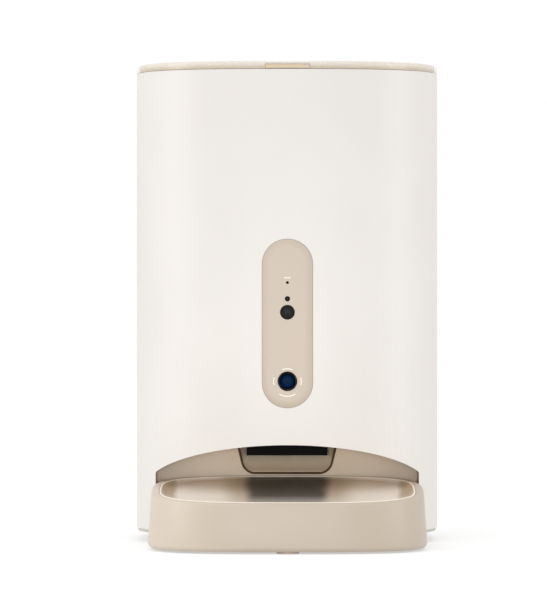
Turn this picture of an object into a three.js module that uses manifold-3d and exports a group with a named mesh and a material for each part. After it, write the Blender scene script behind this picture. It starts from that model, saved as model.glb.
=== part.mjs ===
// A pet feeder with a camera: a white squircle tower on four feet, an arch in its front with a
// slide-out feeding tray, a hinged clear lid over the food hopper, a portion rotor driven through
// two gear stages, a chute with a hanging flap, and a camera behind a pill-shaped front plate.
// Millimetres, +Z up, front towards -Y. The origin is on the floor, at the middle of the whole part.

import * as THREE from 'three';
import { mergeVertices } from 'three/addons/utils/BufferGeometryUtils.js';
import Module from 'manifold-3d';

const wasm = await Module();
wasm.setup();

// Overall sizes
const bodyHalfWidth = 100;
const bodyHalfDepth = 100;
const bodyRoundnessShare = 2.9;
const footHeight = 6.9;
const shellTop = 308.7;
const lidSeam = 0.3;
const lidHeight = 4.9;

// Clearances and shared sizes
const gap = 0.3;
const overrun = 1;
const outlineCount = 40;
const roundCount = 16;
const smallRoundCount = 8;

// Body shell
const shellWall = 2.5;
const archPillarWidth = 14;
const archTipReach = 6;
const archEllipseHeight = 28.8;
const archCentreHeight = 36.7;
const archCurveCount = 16;
const ledgeWidth = 3.5;
const ledgeThickness = 2;
const bossRadius = 5;
const bossHeight = 16;
const bossSink = 0.6;
const screwHoleRadius = 1.6;
const frontBossSetback = 16;

// Base plate, feet and base screws
const baseThickness = 2;
const baseInset = 0.9;
const lipHeight = 4;
const lipThickness = 1.6;
const footRadius = 7;
const footSideInset = 36;
const footFrontInset = 42;
const footRearInset = 38;
const screwShankRadius = 1.3;
const screwShankLength = 13;
const screwHeadRadius = 3;
const screwHeadHeight = 1.7;

// Recess housing behind the arch
const recessWall = 2;

// Chute with its mouth in the recess
const mouthHalfWidth = 33;
const mouthBottom = 44;
const mouthTop = 66.5;
const mouthCornerRadius = 7;
const mouthLineGap = 1;
const chuteWall = 2;
const chuteMouthSill = 0.8;
const chuteMouthInset = 1;
const chuteHalfWidth = 27.2;
const rampSlopeShare = 0.82;
const mouthDepth = 12.5;
const shaftDepth = 24.3;
const throatTop = 82.5;

// Outlet flap and its pin
const flapThickness = 1.4;
const flapPinHeight = 79.5;
const flapBarrelRadius = 2.2;
const flapPinRadius = 1.2;
const flapSideGap = 0.4;
const flapBottomGap = 0.6;

// Mid deck
const deckBottom = 98;
const deckThickness = 3;
const dropHalfWidth = 22;
const dropEdgeWidth = 1.7;
const deckNotchDepth = 19;

// Hopper
const hopperSideRoom = 10;
const hopperFrontRoom = 36;
const hopperRearRoom = 24;
const hopperRoundnessShare = 3.2;
const hopperWall = 2;
const hopperFlangeDrop = 8.7;
const hopperFlangeThickness = 2;
const collarHeight = 4;
const funnelTop = 165;
const funnelBottom = 128;

// Portion rotor, agitator, outlet cover and shaft
const rotorRadius = 42;
const rotorGap = 0.7;
const rotorBladeCount = 6;
const rotorBladeThickness = 2.6;
const rotorHubRadius = 10;
const rotorLift = 0.5;
const rotorHeight = 18.5;
const agitatorRadius = 11;
const agitatorTipRadius = 3;
const agitatorHeight = 19;
const agitatorArmReach = 24;
const agitatorArmRadius = 2.2;
const agitatorArmLift = 8;
const coverSectorDegrees = 84;
const coverInnerRadius = 13.5;
const coverThickness = 2;
const coverLift = 1.2;
const shaftRadius = 3;
const sealRadius = 7;
const sealHeight = 2.6;

// Gear train
const gearModule = 0.8;
const wheelTeethCount = 36;
const pinionTeethCount = 12;
const toothAddendumShare = 0.72;
const toothDedendumShare = 1;
const toothRootShare = 0.66;
const toothTipShare = 0.2;
const gearWidth = 3.6;
const gearSpacing = 0.8;
const axleRadius = 1.5;

// Gearbox case, cover and motor
const caseGearRoom = 1.624;
const caseWall = 1.8;
const caseTopThickness = 1.5;
const caseHeight = 12;
const caseFrontRoom = 0.8;
const caseRearSetback = 6.4;
const coverPlateThickness = 2;
const motorRadius = 14;
const motorRearRoom = 2;
const motorHeight = 32;
const motorShaftRadius = 1.3;
const motorShaftDepth = 6;

// Battery box, cells, contacts and door
const cellRadius = 16.5;
const cellLength = 61;
const cellCount = 3;
const cellSideGap = 1;
const cellSeatHeight = 2.2;
const cellTipRadius = 4.5;
const cellTipLength = 0.8;
const boxWall = 1.6;
const boxTopRoom = 1.9;
const boxEndRoom = 2;
const boxSideRoom = 1;
const boxFrontRoom = 12.9;
const boxRearRoom = 8.9;
const contactThickness = 0.6;
const contactHeight = 22;
const doorTravel = 6;
const doorHalfWidth = 31.1;
const doorSideGap = 0.4;
const doorFrontInset = 1.4;
const doorGripLength = 16;
const doorGripWidth = 1.6;
const doorGripDepth = 0.8;
const doorGripCount = 4;

// Camera front plate and what sits in it
const plateHalfWidth = 16.45;
const plateBottom = 89.5;
const plateTopRoom = 28.2;
const plateFlangeWidth = 3;
const plateFlangeThickness = 1.8;
const plateRimWidth = 2.5;
const lensHeight = 106.8;
const lensRadius = 6.1;
const lensGlassRadius = 5.2;
const lensGlassBulge = 1.4;
const lensGlassInset = 1.7;
const lensGlassThickness = 2;
const infraredHeight = 151.4;
const infraredRadius = 4.5;
const sensorRise = 8.7;
const sensorRadius = 1.45;
const microphoneRise = 10.5;
const microphoneHoleRadius = 0.75;
const microphoneRadius = 3;
const microphoneLength = 2.7;
const windowFlangeWidth = 1.2;
const windowFlangeThickness = 1;
const housingHalfWidth = 17;
const housingDepth = 12;
const housingSeatGap = 0.8;
const housingWall = 1.6;
const boardThickness = 1.6;
const boardEdgeGap = 0.5;

// Main board, rear board, speaker, power socket and pair button
const mainBoardHalfWidth = 55;
const mainBoardSetback = 26;
const mainBoardHeight = 85;
const chipSize = 14;
const chipThickness = 2;
const chipPlaceShares = [[-0.5, 0.33], [0.33, 0.5], [-0.2, 0.75]];
const speakerRadius = 18;
const speakerHeight = 12;
const speakerForward = 0.5;
const rearBoardHalfWidth = 14;
const rearBoardRise = 36;
const guideThickness = 2;
const guideDepth = 17.6;
const socketRise = 12;
const socketHalfSize = 6.5;
const socketDepth = 13.2;
const socketNoseRadius = 5.2;
const socketNoseInset = 1;
const socketBoreRadius = 3.1;
const socketBoreDepth = 9;
const socketPinRadius = 1;
const socketPinInset = 1.5;
const buttonRise = 28;
const buttonRadius = 4;
const buttonInset = 0.2;
const buttonFlangeWidth = 1.5;
const buttonFlangeThickness = 1.2;
const buttonTravel = 1;
const switchHalfSize = 4;

// Lid, hinge and latch
const hingeSetback = 18;
const hingeRadius = 2.4;
const hingePinRadius = 1;
const hingePinHalfLength = 56;
const knuckleStart = 34.4;
const knuckleEnd = 51.6;
const knuckleSideGap = 0.4;
const knuckleRearRoom = 3.6;
const lidEdgeGap = 0.6;
const lidSkin = 1.8;
const lidSkirt = 1.7;
const lidEdgeChamfer = 1.5;
const frameFloor = 1.5;
const frameBridgeWidth = 10;
const frameSideWidth = 20;
const frameEndRoom = 26;
const frameWindowRadius = 9;
const sealRingWidth = 4.4;
const latchHalfWidth = 14.2;
const latchDepth = 11;
const latchTravel = 2;
const latchSideGap = 0.4;
const latchFaceInset = 0.4;
const latchNoseInset = 9.2;
const latchNoseThickness = 1.8;
const latchNoseDrop = 4.6;
const latchNoseHalfWidth = 8;
const desiccantRadius = 30;
const desiccantWall = 1.6;
const desiccantHeight = 13;
const desiccantCoverThickness = 2.2;
const desiccantPlugGap = 0.9;
const desiccantSlotCount = 8;
const desiccantSlotLength = 12;
const desiccantSlotWidth = 3;

// Feeding tray and steel bowl
const traySideGap = 0.84;
const trayHalfDepth = 77.5;
const trayRoundnessShare = 3.2;
const trayDraft = 2.1;
const traySkirtBottom = 1.3;
const trayBottomChamfer = 3;
const trayRimHeight = 37.5;
const trayRimSlopeShare = 0.0795;
const trayWall = 2.2;
const trayStepGap = 1;
const trayRearGap = 5;
const nubRadius = 7.2;
const nubHeight = 6;
const nubFrontInset = 10;
const nubSideInset = 9;
const nubSideSetback = 5.5;
const bowlRimWidth = 7.5;
const bowlSheet = 0.8;
const bowlShoulderInset = 5;
const bowlShoulderDrop = 6;
const bowlShoulderSlopeShare = 0.15;
const bowlFloorInset = 12;
const bowlFloorDrop = 7.5;
const bowlFloorSlopeShare = 0.185;

// Heights that follow from the sizes above
const baseTop = footHeight + baseThickness;
const shellBottom = baseTop;
const cellHeight = baseTop + cellSeatHeight + cellRadius;
const boxTop = cellHeight + cellRadius + boxTopRoom;
const socketHeight = boxTop + socketRise;
const buttonHeight = boxTop + buttonRise;
const rearBoardTop = boxTop + rearBoardRise;
const deckTop = deckBottom + deckThickness;
const caseBottom = deckBottom - caseHeight;
const lowGearBottom = caseBottom + gearSpacing + gearSpacing;
const highGearBottom = lowGearBottom + gearWidth + gearSpacing;
const chamberFloorTop = deckTop + hopperWall;
const rotorBottom = chamberFloorTop + rotorLift;
const rotorTop = rotorBottom + rotorHeight;
const coverBottom = rotorTop + coverLift;
const shaftBottom = caseBottom - coverPlateThickness + gap;
const shaftTop = rotorTop + agitatorArmLift / 2;
const rampStart = mouthBottom + mouthLineGap + chuteMouthSill;
const hopperFlangeBottom = shellTop - hopperFlangeDrop;
const sensorHeight = infraredHeight + sensorRise;
const microphoneHeight = sensorHeight + microphoneRise;
const plateTop = microphoneHeight + plateTopRoom;
const lidBottom = shellTop + lidSeam;
const lidTop = lidBottom + lidHeight;
const frameTop = lidTop - lidSkin - gap;
const hingeHeight = lidBottom + lidHeight / 2;

// The drive stands in a row before the rear board, from the motor forward to the chute
const innerHalfWidth = bodyHalfWidth - shellWall;
const innerHalfDepth = bodyHalfDepth - shellWall;
const rearBoardY = innerHalfDepth - gap - socketDepth - boardThickness;
const gearCentres = gearModule * (wheelTeethCount + pinionTeethCount) / 2;
const wheelTipRadius = gearModule * (wheelTeethCount / 2 + toothAddendumShare);
const caseRadius = wheelTipRadius + caseGearRoom + caseWall;
const motorY = rearBoardY - motorRearRoom - motorRadius;
const idlerY = motorY - gearCentres;
const rotorY = idlerY - gearCentres;
const caseRearY = motorY - caseRearSetback;
const chamberRadius = rotorRadius + rotorGap;
const shaftRearY = rotorY - caseRadius - caseFrontRoom - chuteWall;
const throatY = shaftRearY - shaftDepth;
const flapY = throatY - flapThickness;
const dropFrontY = rotorY - chamberRadius + dropEdgeWidth;
const dropRearY = shaftRearY - gap;

// The battery box stands before the rear wall, its cells side by side
const cellPitch = cellRadius + cellRadius + cellSideGap;
const boxInnerRearY = bodyHalfDepth - boxRearRoom - boxWall;
const cellMiddleY = boxInnerRearY - boxSideRoom - cellRadius - cellPitch;
const boxInnerFrontY = cellMiddleY - cellPitch - cellRadius - boxSideRoom;
const boxInnerHalfWidth = cellLength / 2 + boxEndRoom;
const doorFrontY = boxInnerFrontY + doorFrontInset;
const doorRearY = boxInnerRearY - doorFrontInset;

// The recess goes back as far as the chute's mouth and the battery box let it
const boxFrontEnd = boxInnerFrontY - boxWall - boxFrontRoom - recessWall;
const recessBackY = Math.min(throatY - mouthDepth, boxFrontEnd);
const frontBossY = recessBackY + frontBossSetback;

// Places measured from the shell's front, rear and sides
const deckNotchY = deckNotchDepth - bodyHalfDepth;
const deckNotchHalfWidth = plateHalfWidth + plateFlangeWidth + overrun;
const plateBack = shellWall + gap + plateFlangeThickness;
const housingBackY = plateBack + housingSeatGap + housingDepth - housingWall - bodyHalfDepth;
const boardFrontY = housingBackY - gap - boardThickness;
const mainBoardY = mainBoardSetback - bodyHalfDepth;
const speakerY = (throatY - innerHalfDepth) / 2 - speakerForward;
const buttonFlangeY = innerHalfDepth - gap;
const buttonInnerY = buttonFlangeY - buttonFlangeThickness;
const footX = bodyHalfWidth - footSideInset;
const frontFootY = footFrontInset - bodyHalfDepth;
const rearFootY = bodyHalfDepth - footRearInset;
const hopperHalfWidth = bodyHalfWidth - hopperSideRoom;
const hopperHalfDepth = bodyHalfDepth - (hopperFrontRoom + hopperRearRoom) / 2;
const hopperCentreY = (hopperFrontRoom - hopperRearRoom) / 2;
const hingeY = bodyHalfDepth - hingeSetback;
const lidRearY = hingeY - hingeRadius - lidEdgeGap;
const frameWindowInnerX = desiccantRadius + frameBridgeWidth;
const frameWindowOuterX = bodyHalfWidth - frameSideWidth;
const frameWindowHalfLength = hopperHalfDepth - frameEndRoom;

// The tray is as wide as lets it through the arch where it crosses the shell's curved front
const archHalfWidth = bodyHalfWidth - archPillarWidth;
const archEllipseHalfWidth = archHalfWidth + archTipReach;
const trayCentreY = recessBackY - trayRearGap - trayHalfDepth;
const trayReach = trayHalfDepth - trayCentreY - bodyHalfDepth;
const crossingY = -bodyHalfDepth * squircleShare(archHalfWidth / bodyHalfWidth, bodyRoundnessShare);
const trayCrossShare = squircleShare((crossingY - trayCentreY) / trayHalfDepth, trayRoundnessShare);
const trayHalfWidth = (archHalfWidth - traySideGap) / trayCrossShare;
const bowlHalfWidth = trayHalfWidth - bowlRimWidth;
const bowlHalfDepth = trayHalfDepth - bowlRimWidth;

// Finishes of the pieces
const white = 0xefece6;
const beige = 0xd5c9b9;
const warmBeige = 0xb9a891;
const paleGrey = 0xb8b4ae;
const black = 0x141414;
const smoke = 0x2b2a2a;
const clear = 0xe6e4df;
const steel = 0xc9c5bd;
const rubber = 0x4a4846;
const lensBlue = 0x0a1830;
const boardGreen = 0x2f5f3c;

// Outlines

// How far out a squircle still reaches on one axis, at a share of its reach on the other
function squircleShare(share, roundnessShare) {
  return (1 - Math.abs(share) ** roundnessShare) ** (1 / roundnessShare);
}

function squirclePoints(halfWidth, halfDepth, roundnessShare, centreY = 0) {
  const points = [];
  for (let index = 0; index < outlineCount; index += 1) {
    const angle = (index / outlineCount) * Math.PI * 2;
    const x = Math.sign(Math.cos(angle)) * Math.abs(Math.cos(angle)) ** (2 / roundnessShare);
    const y = Math.sign(Math.sin(angle)) * Math.abs(Math.sin(angle)) ** (2 / roundnessShare);
    points.push(new THREE.Vector2(halfWidth * x, centreY + halfDepth * y));
  }
  return points;
}

function squircleRing(halfWidth, halfDepth, roundnessShare, centreY, height, slopeShare = 0) {
  return squirclePoints(halfWidth, halfDepth, roundnessShare, centreY).map(
    (point) => new THREE.Vector3(point.x, point.y, height + slopeShare * (point.y - centreY)),
  );
}

function circleRing(radius, centreY, height) {
  const ring = [];
  for (let index = 0; index < outlineCount; index += 1) {
    const angle = (index / outlineCount) * Math.PI * 2;
    const x = radius * Math.cos(angle);
    ring.push(new THREE.Vector3(x, centreY + radius * Math.sin(angle), height));
  }
  return ring;
}

function bodyOutline(inset) {
  const halfWidth = bodyHalfWidth - inset;
  return new THREE.Shape(squirclePoints(halfWidth, bodyHalfDepth - inset, bodyRoundnessShare));
}

function archOutline(grow, bottom) {
  const side = archHalfWidth + grow;
  const ellipseHalf = archEllipseHalfWidth + grow;
  const ellipseHeight = archEllipseHeight + grow;
  const startAngle = Math.acos(side / ellipseHalf);
  const points = [new THREE.Vector2(-side, bottom), new THREE.Vector2(side, bottom)];
  for (let index = 0; index <= archCurveCount; index += 1) {
    const angle = startAngle + (index / archCurveCount) * (Math.PI - 2 * startAngle);
    const z = archCentreHeight + ellipseHeight * Math.sin(angle);
    points.push(new THREE.Vector2(ellipseHalf * Math.cos(angle), z));
  }
  return new THREE.Shape(points);
}

function mouthOutline(inset, bottom, top) {
  const half = mouthHalfWidth - inset;
  const radius = mouthCornerRadius - inset;
  const shape = new THREE.Shape();
  shape.moveTo(-half, top);
  shape.lineTo(-half, bottom + radius);
  shape.absarc(-half + radius, bottom + radius, radius, Math.PI, Math.PI * 1.5, false);
  shape.absarc(half - radius, bottom + radius, radius, Math.PI * 1.5, Math.PI * 2, false);
  shape.lineTo(half, top);
  return shape;
}

function stadiumOutline(halfWidth, bottom, top) {
  const shape = new THREE.Shape();
  shape.absarc(0, top - halfWidth, halfWidth, 0, Math.PI, false);
  shape.absarc(0, bottom + halfWidth, halfWidth, Math.PI, Math.PI * 2, false);
  return shape;
}

function roundedRectangle(left, right, front, back, radius) {
  const shape = new THREE.Shape();
  shape.absarc(right - radius, back - radius, radius, 0, Math.PI / 2, false);
  shape.absarc(left + radius, back - radius, radius, Math.PI / 2, Math.PI, false);
  shape.absarc(left + radius, front + radius, radius, Math.PI, Math.PI * 1.5, false);
  shape.absarc(right - radius, front + radius, radius, Math.PI * 1.5, Math.PI * 2, false);
  return shape;
}

function polygon(pairs) {
  return new THREE.Shape(pairs.map(([x, y]) => new THREE.Vector2(x, y)));
}

// Solids

function signedVolume(positions, indices) {
  const a = new THREE.Vector3();
  const b = new THREE.Vector3();
  const c = new THREE.Vector3();
  let volume = 0;
  for (let index = 0; index < indices.length; index += 3) {
    a.fromArray(positions, indices[index] * 3);
    b.fromArray(positions, indices[index + 1] * 3);
    c.fromArray(positions, indices[index + 2] * 3);
    volume += a.dot(b.cross(c)) / 6;
  }
  return volume;
}

function solidOf(geometry) {
  const bare = geometry.clone();
  bare.deleteAttribute('normal');
  bare.deleteAttribute('uv');
  const merged = mergeVertices(bare);
  const vertProperties = Float32Array.from(merged.attributes.position.array);
  const triVerts = Uint32Array.from(merged.index.array);
  if (signedVolume(vertProperties, triVerts) < 0) {
    for (let index = 0; index < triVerts.length; index += 3) {
      [triVerts[index + 1], triVerts[index + 2]] = [triVerts[index + 2], triVerts[index + 1]];
    }
  }
  return new wasm.Manifold(new wasm.Mesh({ numProp: 3, vertProperties, triVerts }));
}

function extruded(shape, depth) {
  const settings = { depth, bevelEnabled: false, curveSegments: smallRoundCount };
  return new THREE.ExtrudeGeometry(shape, settings);
}

// An outline in X and Y, raised along Z
function prismZ(shape, bottom, top) {
  return solidOf(extruded(shape, top - bottom).translate(0, 0, bottom));
}

// An outline in X and Z, drawn along Y
function prismY(shape, front, back) {
  return solidOf(extruded(shape, back - front).rotateX(Math.PI / 2).translate(0, back, 0));
}

// An outline in Y and Z, drawn along X
function prismX(shape, left, right) {
  const turn = new THREE.Matrix4().makeBasis(
    new THREE.Vector3(0, 1, 0),
    new THREE.Vector3(0, 0, 1),
    new THREE.Vector3(1, 0, 0),
  );
  return solidOf(extruded(shape, right - left).applyMatrix4(turn).translate(left, 0, 0));
}

function block(left, right, front, back, bottom, top) {
  const geometry = new THREE.BoxGeometry(right - left, back - front, top - bottom);
  geometry.translate((left + right) / 2, (front + back) / 2, (bottom + top) / 2);
  return solidOf(geometry);
}

function postZ(radius, x, y, bottom, top, count = roundCount, topRadius = radius) {
  const geometry = new THREE.CylinderGeometry(topRadius, radius, top - bottom, count);
  return solidOf(geometry.rotateX(Math.PI / 2).translate(x, y, (bottom + top) / 2));
}

function postY(radius, x, z, front, back, count = roundCount) {
  const geometry = new THREE.CylinderGeometry(radius, radius, back - front, count);
  return solidOf(geometry.translate(x, (front + back) / 2, z));
}

function postX(radius, y, z, left, right, count = roundCount) {
  const geometry = new THREE.CylinderGeometry(radius, radius, right - left, count);
  return solidOf(geometry.rotateZ(Math.PI / 2).translate((left + right) / 2, y, z));
}

// Rings of equal count, joined in order and closed at both ends
function loft(rings) {
  const count = rings[0].length;
  const positions = rings.flat().flatMap((point) => [point.x, point.y, point.z]);
  const indices = [];
  for (let level = 0; level < rings.length - 1; level += 1) {
    for (let index = 0; index < count; index += 1) {
      const next = (index + 1) % count;
      const low = level * count;
      const high = low + count;
      indices.push(low + index, low + next, high + next);
      indices.push(low + index, high + next, high + index);
    }
  }
  [0, rings.length - 1].forEach((level) => {
    const low = level * count;
    for (let index = 1; index < count - 1; index += 1) {
      const order = level === 0 ? [low, low + index + 1, low + index] : [low, low + index, low + index + 1];
      indices.push(...order);
    }
  });
  const geometry = new THREE.BufferGeometry();
  geometry.setAttribute('position', new THREE.Float32BufferAttribute(positions, 3));
  geometry.setIndex(indices);
  return solidOf(geometry);
}

function together(solids) {
  return solids.reduce((sum, solid) => sum.add(solid));
}

function gearOutline(teethCount) {
  const pitchRadius = gearModule * teethCount / 2;
  const pitchAngle = (Math.PI * 2) / teethCount;
  const levels = [
    [pitchRadius - gearModule * toothDedendumShare, toothRootShare],
    [pitchRadius + gearModule * toothAddendumShare, toothTipShare],
  ];
  const points = [];
  for (let tooth = 0; tooth < teethCount; tooth += 1) {
    const middle = tooth * pitchAngle;
    levels.forEach(([radius, share]) => {
      const angle = middle - (pitchAngle * share) / 2;
      points.push(new THREE.Vector2(radius * Math.cos(angle), radius * Math.sin(angle)));
    });
    [...levels].reverse().forEach(([radius, share]) => {
      const angle = middle + (pitchAngle * share) / 2;
      points.push(new THREE.Vector2(radius * Math.cos(angle), radius * Math.sin(angle)));
    });
  }
  return new THREE.Shape(points);
}

function gear(teethCount, turn, centreY, bottom) {
  const geometry = extruded(gearOutline(teethCount), gearWidth);
  return solidOf(geometry.rotateZ(turn).translate(0, centreY, bottom));
}

// The scene graph: everything hangs in one group, shifted so that the tray and tower share a middle
const feeder = new THREE.Group();
feeder.position.y = trayReach / 2;

function addPart(name, solid, color, roughness, metalness = 0) {
  const found = solid.getMesh();
  const geometry = new THREE.BufferGeometry();
  geometry.setAttribute('position', new THREE.BufferAttribute(found.vertProperties, found.numProp));
  geometry.setIndex(new THREE.BufferAttribute(found.triVerts, 1));
  geometry.computeVertexNormals();
  const material = new THREE.MeshStandardMaterial({ color, roughness, metalness });
  const mesh = new THREE.Mesh(geometry, material);
  mesh.name = name;
  feeder.add(mesh);
}

// Screw bosses stand at four places inside the shell
const rearBossShare = 0.5 ** (1 / bodyRoundnessShare);
const rearBossInset = bossRadius * Math.SQRT1_2 - bossSink;
const rearBossX = innerHalfWidth * rearBossShare - rearBossInset;
const rearBossY = innerHalfDepth * rearBossShare - rearBossInset;
const frontBossX = innerHalfWidth - bossRadius + bossSink;
const bossPlaces = [
  [-frontBossX, frontBossY],
  [frontBossX, frontBossY],
  [-rearBossX, rearBossY],
  [rearBossX, rearBossY],
];

function bodyShell() {
  const inside = prismZ(bodyOutline(shellWall), shellBottom - overrun, shellTop + overrun);
  let shell = prismZ(bodyOutline(0), shellBottom, shellTop).subtract(inside);
  [deckBottom, hopperFlangeBottom].forEach((top) => {
    const ring = prismZ(bodyOutline(shellWall / 2), top - ledgeThickness, top);
    const hole = prismZ(bodyOutline(shellWall + ledgeWidth), top - ledgeThickness - overrun, top + overrun);
    shell = shell.add(ring.subtract(hole));
  });
  const cameraRoom = deckNotchHalfWidth;
  const cameraFront = -innerHalfDepth;
  shell = shell.subtract(
    block(-cameraRoom, cameraRoom, cameraFront, deckNotchY, deckBottom - bossHeight, deckTop),
  );
  const arch = archOutline(0, shellBottom - overrun);
  shell = shell.subtract(prismY(arch, -bodyHalfDepth - overrun, recessBackY));
  bossPlaces.forEach(([x, y]) => {
    shell = shell.add(postZ(bossRadius, x, y, shellBottom, shellBottom + bossHeight, smallRoundCount));
    const hole = postZ(screwHoleRadius, x, y, shellBottom - overrun, shellBottom + bossHeight - overrun);
    shell = shell.subtract(hole);
  });
  const guideInner = rearBoardHalfWidth + gap;
  const guideFront = innerHalfDepth + shellWall / 2 - guideDepth;
  [-1, 1].forEach((side) => {
    const edges = [side * guideInner, side * (guideInner + guideThickness)];
    const guide = block(
      Math.min(...edges),
      Math.max(...edges),
      guideFront,
      innerHalfDepth + shellWall / 2,
      boxTop + gap,
      rearBoardTop,
    );
    shell = shell.add(guide);
  });
  const wallFront = innerHalfDepth - overrun;
  const wallBack = bodyHalfDepth + overrun;
  shell = shell.subtract(postY(socketNoseRadius + gap, 0, socketHeight, wallFront, wallBack));
  shell = shell.subtract(postY(buttonRadius + gap, 0, buttonHeight, wallFront, wallBack));
  const plateHole = stadiumOutline(plateHalfWidth + gap, plateBottom - gap, plateTop + gap);
  return shell.subtract(prismY(plateHole, -bodyHalfDepth - overrun, -innerHalfDepth + shellWall));
}

function basePlate() {
  let plate = prismZ(bodyOutline(baseInset), footHeight, baseTop);
  const lipInset = shellWall + gap;
  const lip = prismZ(bodyOutline(lipInset), baseTop - overrun, baseTop + lipHeight);
  const inside = prismZ(bodyOutline(lipInset + lipThickness), baseTop, baseTop + lipHeight + overrun);
  const frontRoom = block(
    -bodyHalfWidth,
    bodyHalfWidth,
    -bodyHalfDepth,
    recessBackY + recessWall + overrun,
    baseTop,
    baseTop + lipHeight + overrun,
  );
  plate = plate.add(lip.subtract(inside).subtract(frontRoom));
  bossPlaces.forEach(([x, y]) => {
    plate = plate.subtract(postZ(bossRadius + overrun, x, y, baseTop, baseTop + lipHeight + overrun));
    plate = plate.subtract(postZ(screwHoleRadius, x, y, footHeight - overrun, baseTop + overrun));
  });
  const opening = block(
    -doorHalfWidth - doorSideGap,
    doorHalfWidth + doorSideGap,
    doorFrontY - doorSideGap,
    doorRearY + doorTravel + doorSideGap,
    footHeight - overrun,
    baseTop + overrun,
  );
  return plate.subtract(opening);
}

function recessHousing() {
  const frontY = -innerHalfDepth;
  const outer = prismY(archOutline(recessWall, baseTop), frontY, recessBackY + recessWall);
  const inner = prismY(archOutline(0, baseTop - overrun), frontY - overrun, recessBackY);
  const inside = prismZ(bodyOutline(shellWall + gap), baseTop - overrun, deckBottom);
  const hole = prismY(mouthOutline(0, mouthBottom, mouthTop - gap), recessBackY - overrun, throatY);
  return outer.subtract(inner).intersect(inside).subtract(hole);
}

function rampHeight(y) {
  return rampStart + rampSlopeShare * (y - recessBackY);
}

function chute() {
  const bezelFront = recessBackY + gap;
  const bezelBack = recessBackY + recessWall + gap;
  const shaftRear = shaftRearY + chuteWall;
  const shaftFront = throatY - chuteWall;
  const drop = chuteWall * Math.hypot(1, rampSlopeShare);
  const sideProfile = polygon([
    [bezelBack, rampHeight(bezelBack) - drop],
    [shaftRear, rampHeight(shaftRear) - drop],
    [shaftRear, deckBottom],
    [shaftFront, deckBottom],
    [shaftFront, throatTop + chuteWall],
    [bezelBack, throatTop + chuteWall],
  ]);
  const outerHalf = chuteHalfWidth + chuteWall;
  const mouthHalf = mouthHalfWidth - mouthLineGap;
  const outerPlan = polygon([
    [-mouthHalf, bezelFront],
    [mouthHalf, bezelFront],
    [mouthHalf, bezelBack],
    [outerHalf, throatY],
    [outerHalf, shaftRear],
    [-outerHalf, shaftRear],
    [-outerHalf, throatY],
    [-mouthHalf, bezelBack],
  ]);
  const bezelOutline = mouthOutline(mouthLineGap, mouthBottom + mouthLineGap, mouthTop - mouthLineGap);
  const bezel = prismY(bezelOutline, bezelFront, bezelBack + overrun);
  const duct = prismX(sideProfile, -mouthHalf, mouthHalf).intersect(prismZ(outerPlan, 0, deckTop));
  const innerProfile = polygon([
    [recessBackY - overrun, rampHeight(recessBackY - overrun)],
    [shaftRearY, rampHeight(shaftRearY)],
    [shaftRearY, deckBottom + overrun],
    [throatY, deckBottom + overrun],
    [throatY, throatTop],
    [throatY - chuteWall - overrun, throatTop],
    [throatY - chuteWall - overrun, throatTop + chuteWall + overrun],
    [recessBackY - overrun, throatTop + chuteWall + overrun],
  ]);
  const innerMouth = mouthHalf - chuteMouthInset;
  const innerPlan = polygon([
    [-innerMouth, recessBackY - overrun],
    [innerMouth, recessBackY - overrun],
    [chuteHalfWidth, throatY],
    [chuteHalfWidth, shaftRearY],
    [-chuteHalfWidth, shaftRearY],
    [-chuteHalfWidth, throatY],
  ]);
  const cavity = prismX(innerProfile, -mouthHalf, mouthHalf).intersect(prismZ(innerPlan, 0, shellTop));
  const pinHole = postX(flapPinRadius + gap, flapY, flapPinHeight, -mouthHalf, mouthHalf, smallRoundCount);
  return bezel.add(duct).subtract(cavity).subtract(pinHole);
}

function outletFlap() {
  const half = chuteHalfWidth - flapSideGap;
  const front = flapY - flapThickness / 2;
  const back = flapY + flapThickness / 2;
  const bottom = rampHeight(back) + flapBottomGap;
  const plate = block(-half, half, front, back, bottom, flapPinHeight);
  const barrel = postX(flapBarrelRadius, flapY, flapPinHeight, -half, half, smallRoundCount);
  const bore = flapPinRadius + gap;
  const hole = postX(bore, flapY, flapPinHeight, -half - overrun, half + overrun, smallRoundCount);
  return plate.add(barrel).subtract(hole);
}

function midDeck() {
  const deck = prismZ(bodyOutline(shellWall + gap), deckBottom, deckTop);
  const holes = [
    block(-dropHalfWidth, dropHalfWidth, dropFrontY, dropRearY, deckBottom - overrun, deckTop + overrun),
    postZ(sealRadius, 0, rotorY, deckBottom - overrun, deckTop + overrun),
    block(
      -deckNotchHalfWidth,
      deckNotchHalfWidth,
      -bodyHalfDepth,
      deckNotchY,
      deckBottom - overrun,
      deckTop + overrun,
    ),
  ];
  return deck.subtract(together(holes));
}

function hopper() {
  const level = (inset, height) =>
    squircleRing(
      hopperHalfWidth - inset,
      hopperHalfDepth - inset,
      hopperRoundnessShare,
      hopperCentreY,
      height,
    );
  const collarTop = hopperFlangeBottom + hopperFlangeThickness + collarHeight;
  const outer = loft([
    circleRing(chamberRadius + hopperWall, rotorY, deckTop),
    circleRing(chamberRadius + hopperWall, rotorY, funnelBottom),
    level(0, funnelTop),
    level(0, collarTop),
  ]);
  const inner = loft([
    circleRing(chamberRadius, rotorY, chamberFloorTop),
    circleRing(chamberRadius, rotorY, funnelBottom),
    level(hopperWall, funnelTop + hopperWall),
    level(hopperWall, collarTop + overrun),
  ]);
  const flangeTop = hopperFlangeBottom + hopperFlangeThickness;
  const flange = prismZ(bodyOutline(shellWall + gap), hopperFlangeBottom, flangeTop);
  const drop = block(
    -dropHalfWidth,
    dropHalfWidth,
    dropFrontY,
    dropRearY,
    deckTop - overrun,
    chamberFloorTop + overrun,
  );
  const shaftHole = postZ(sealRadius + gap, 0, rotorY, deckTop - overrun, chamberFloorTop + overrun);
  return outer.add(flange).subtract(inner).subtract(drop).subtract(shaftHole);
}

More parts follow.
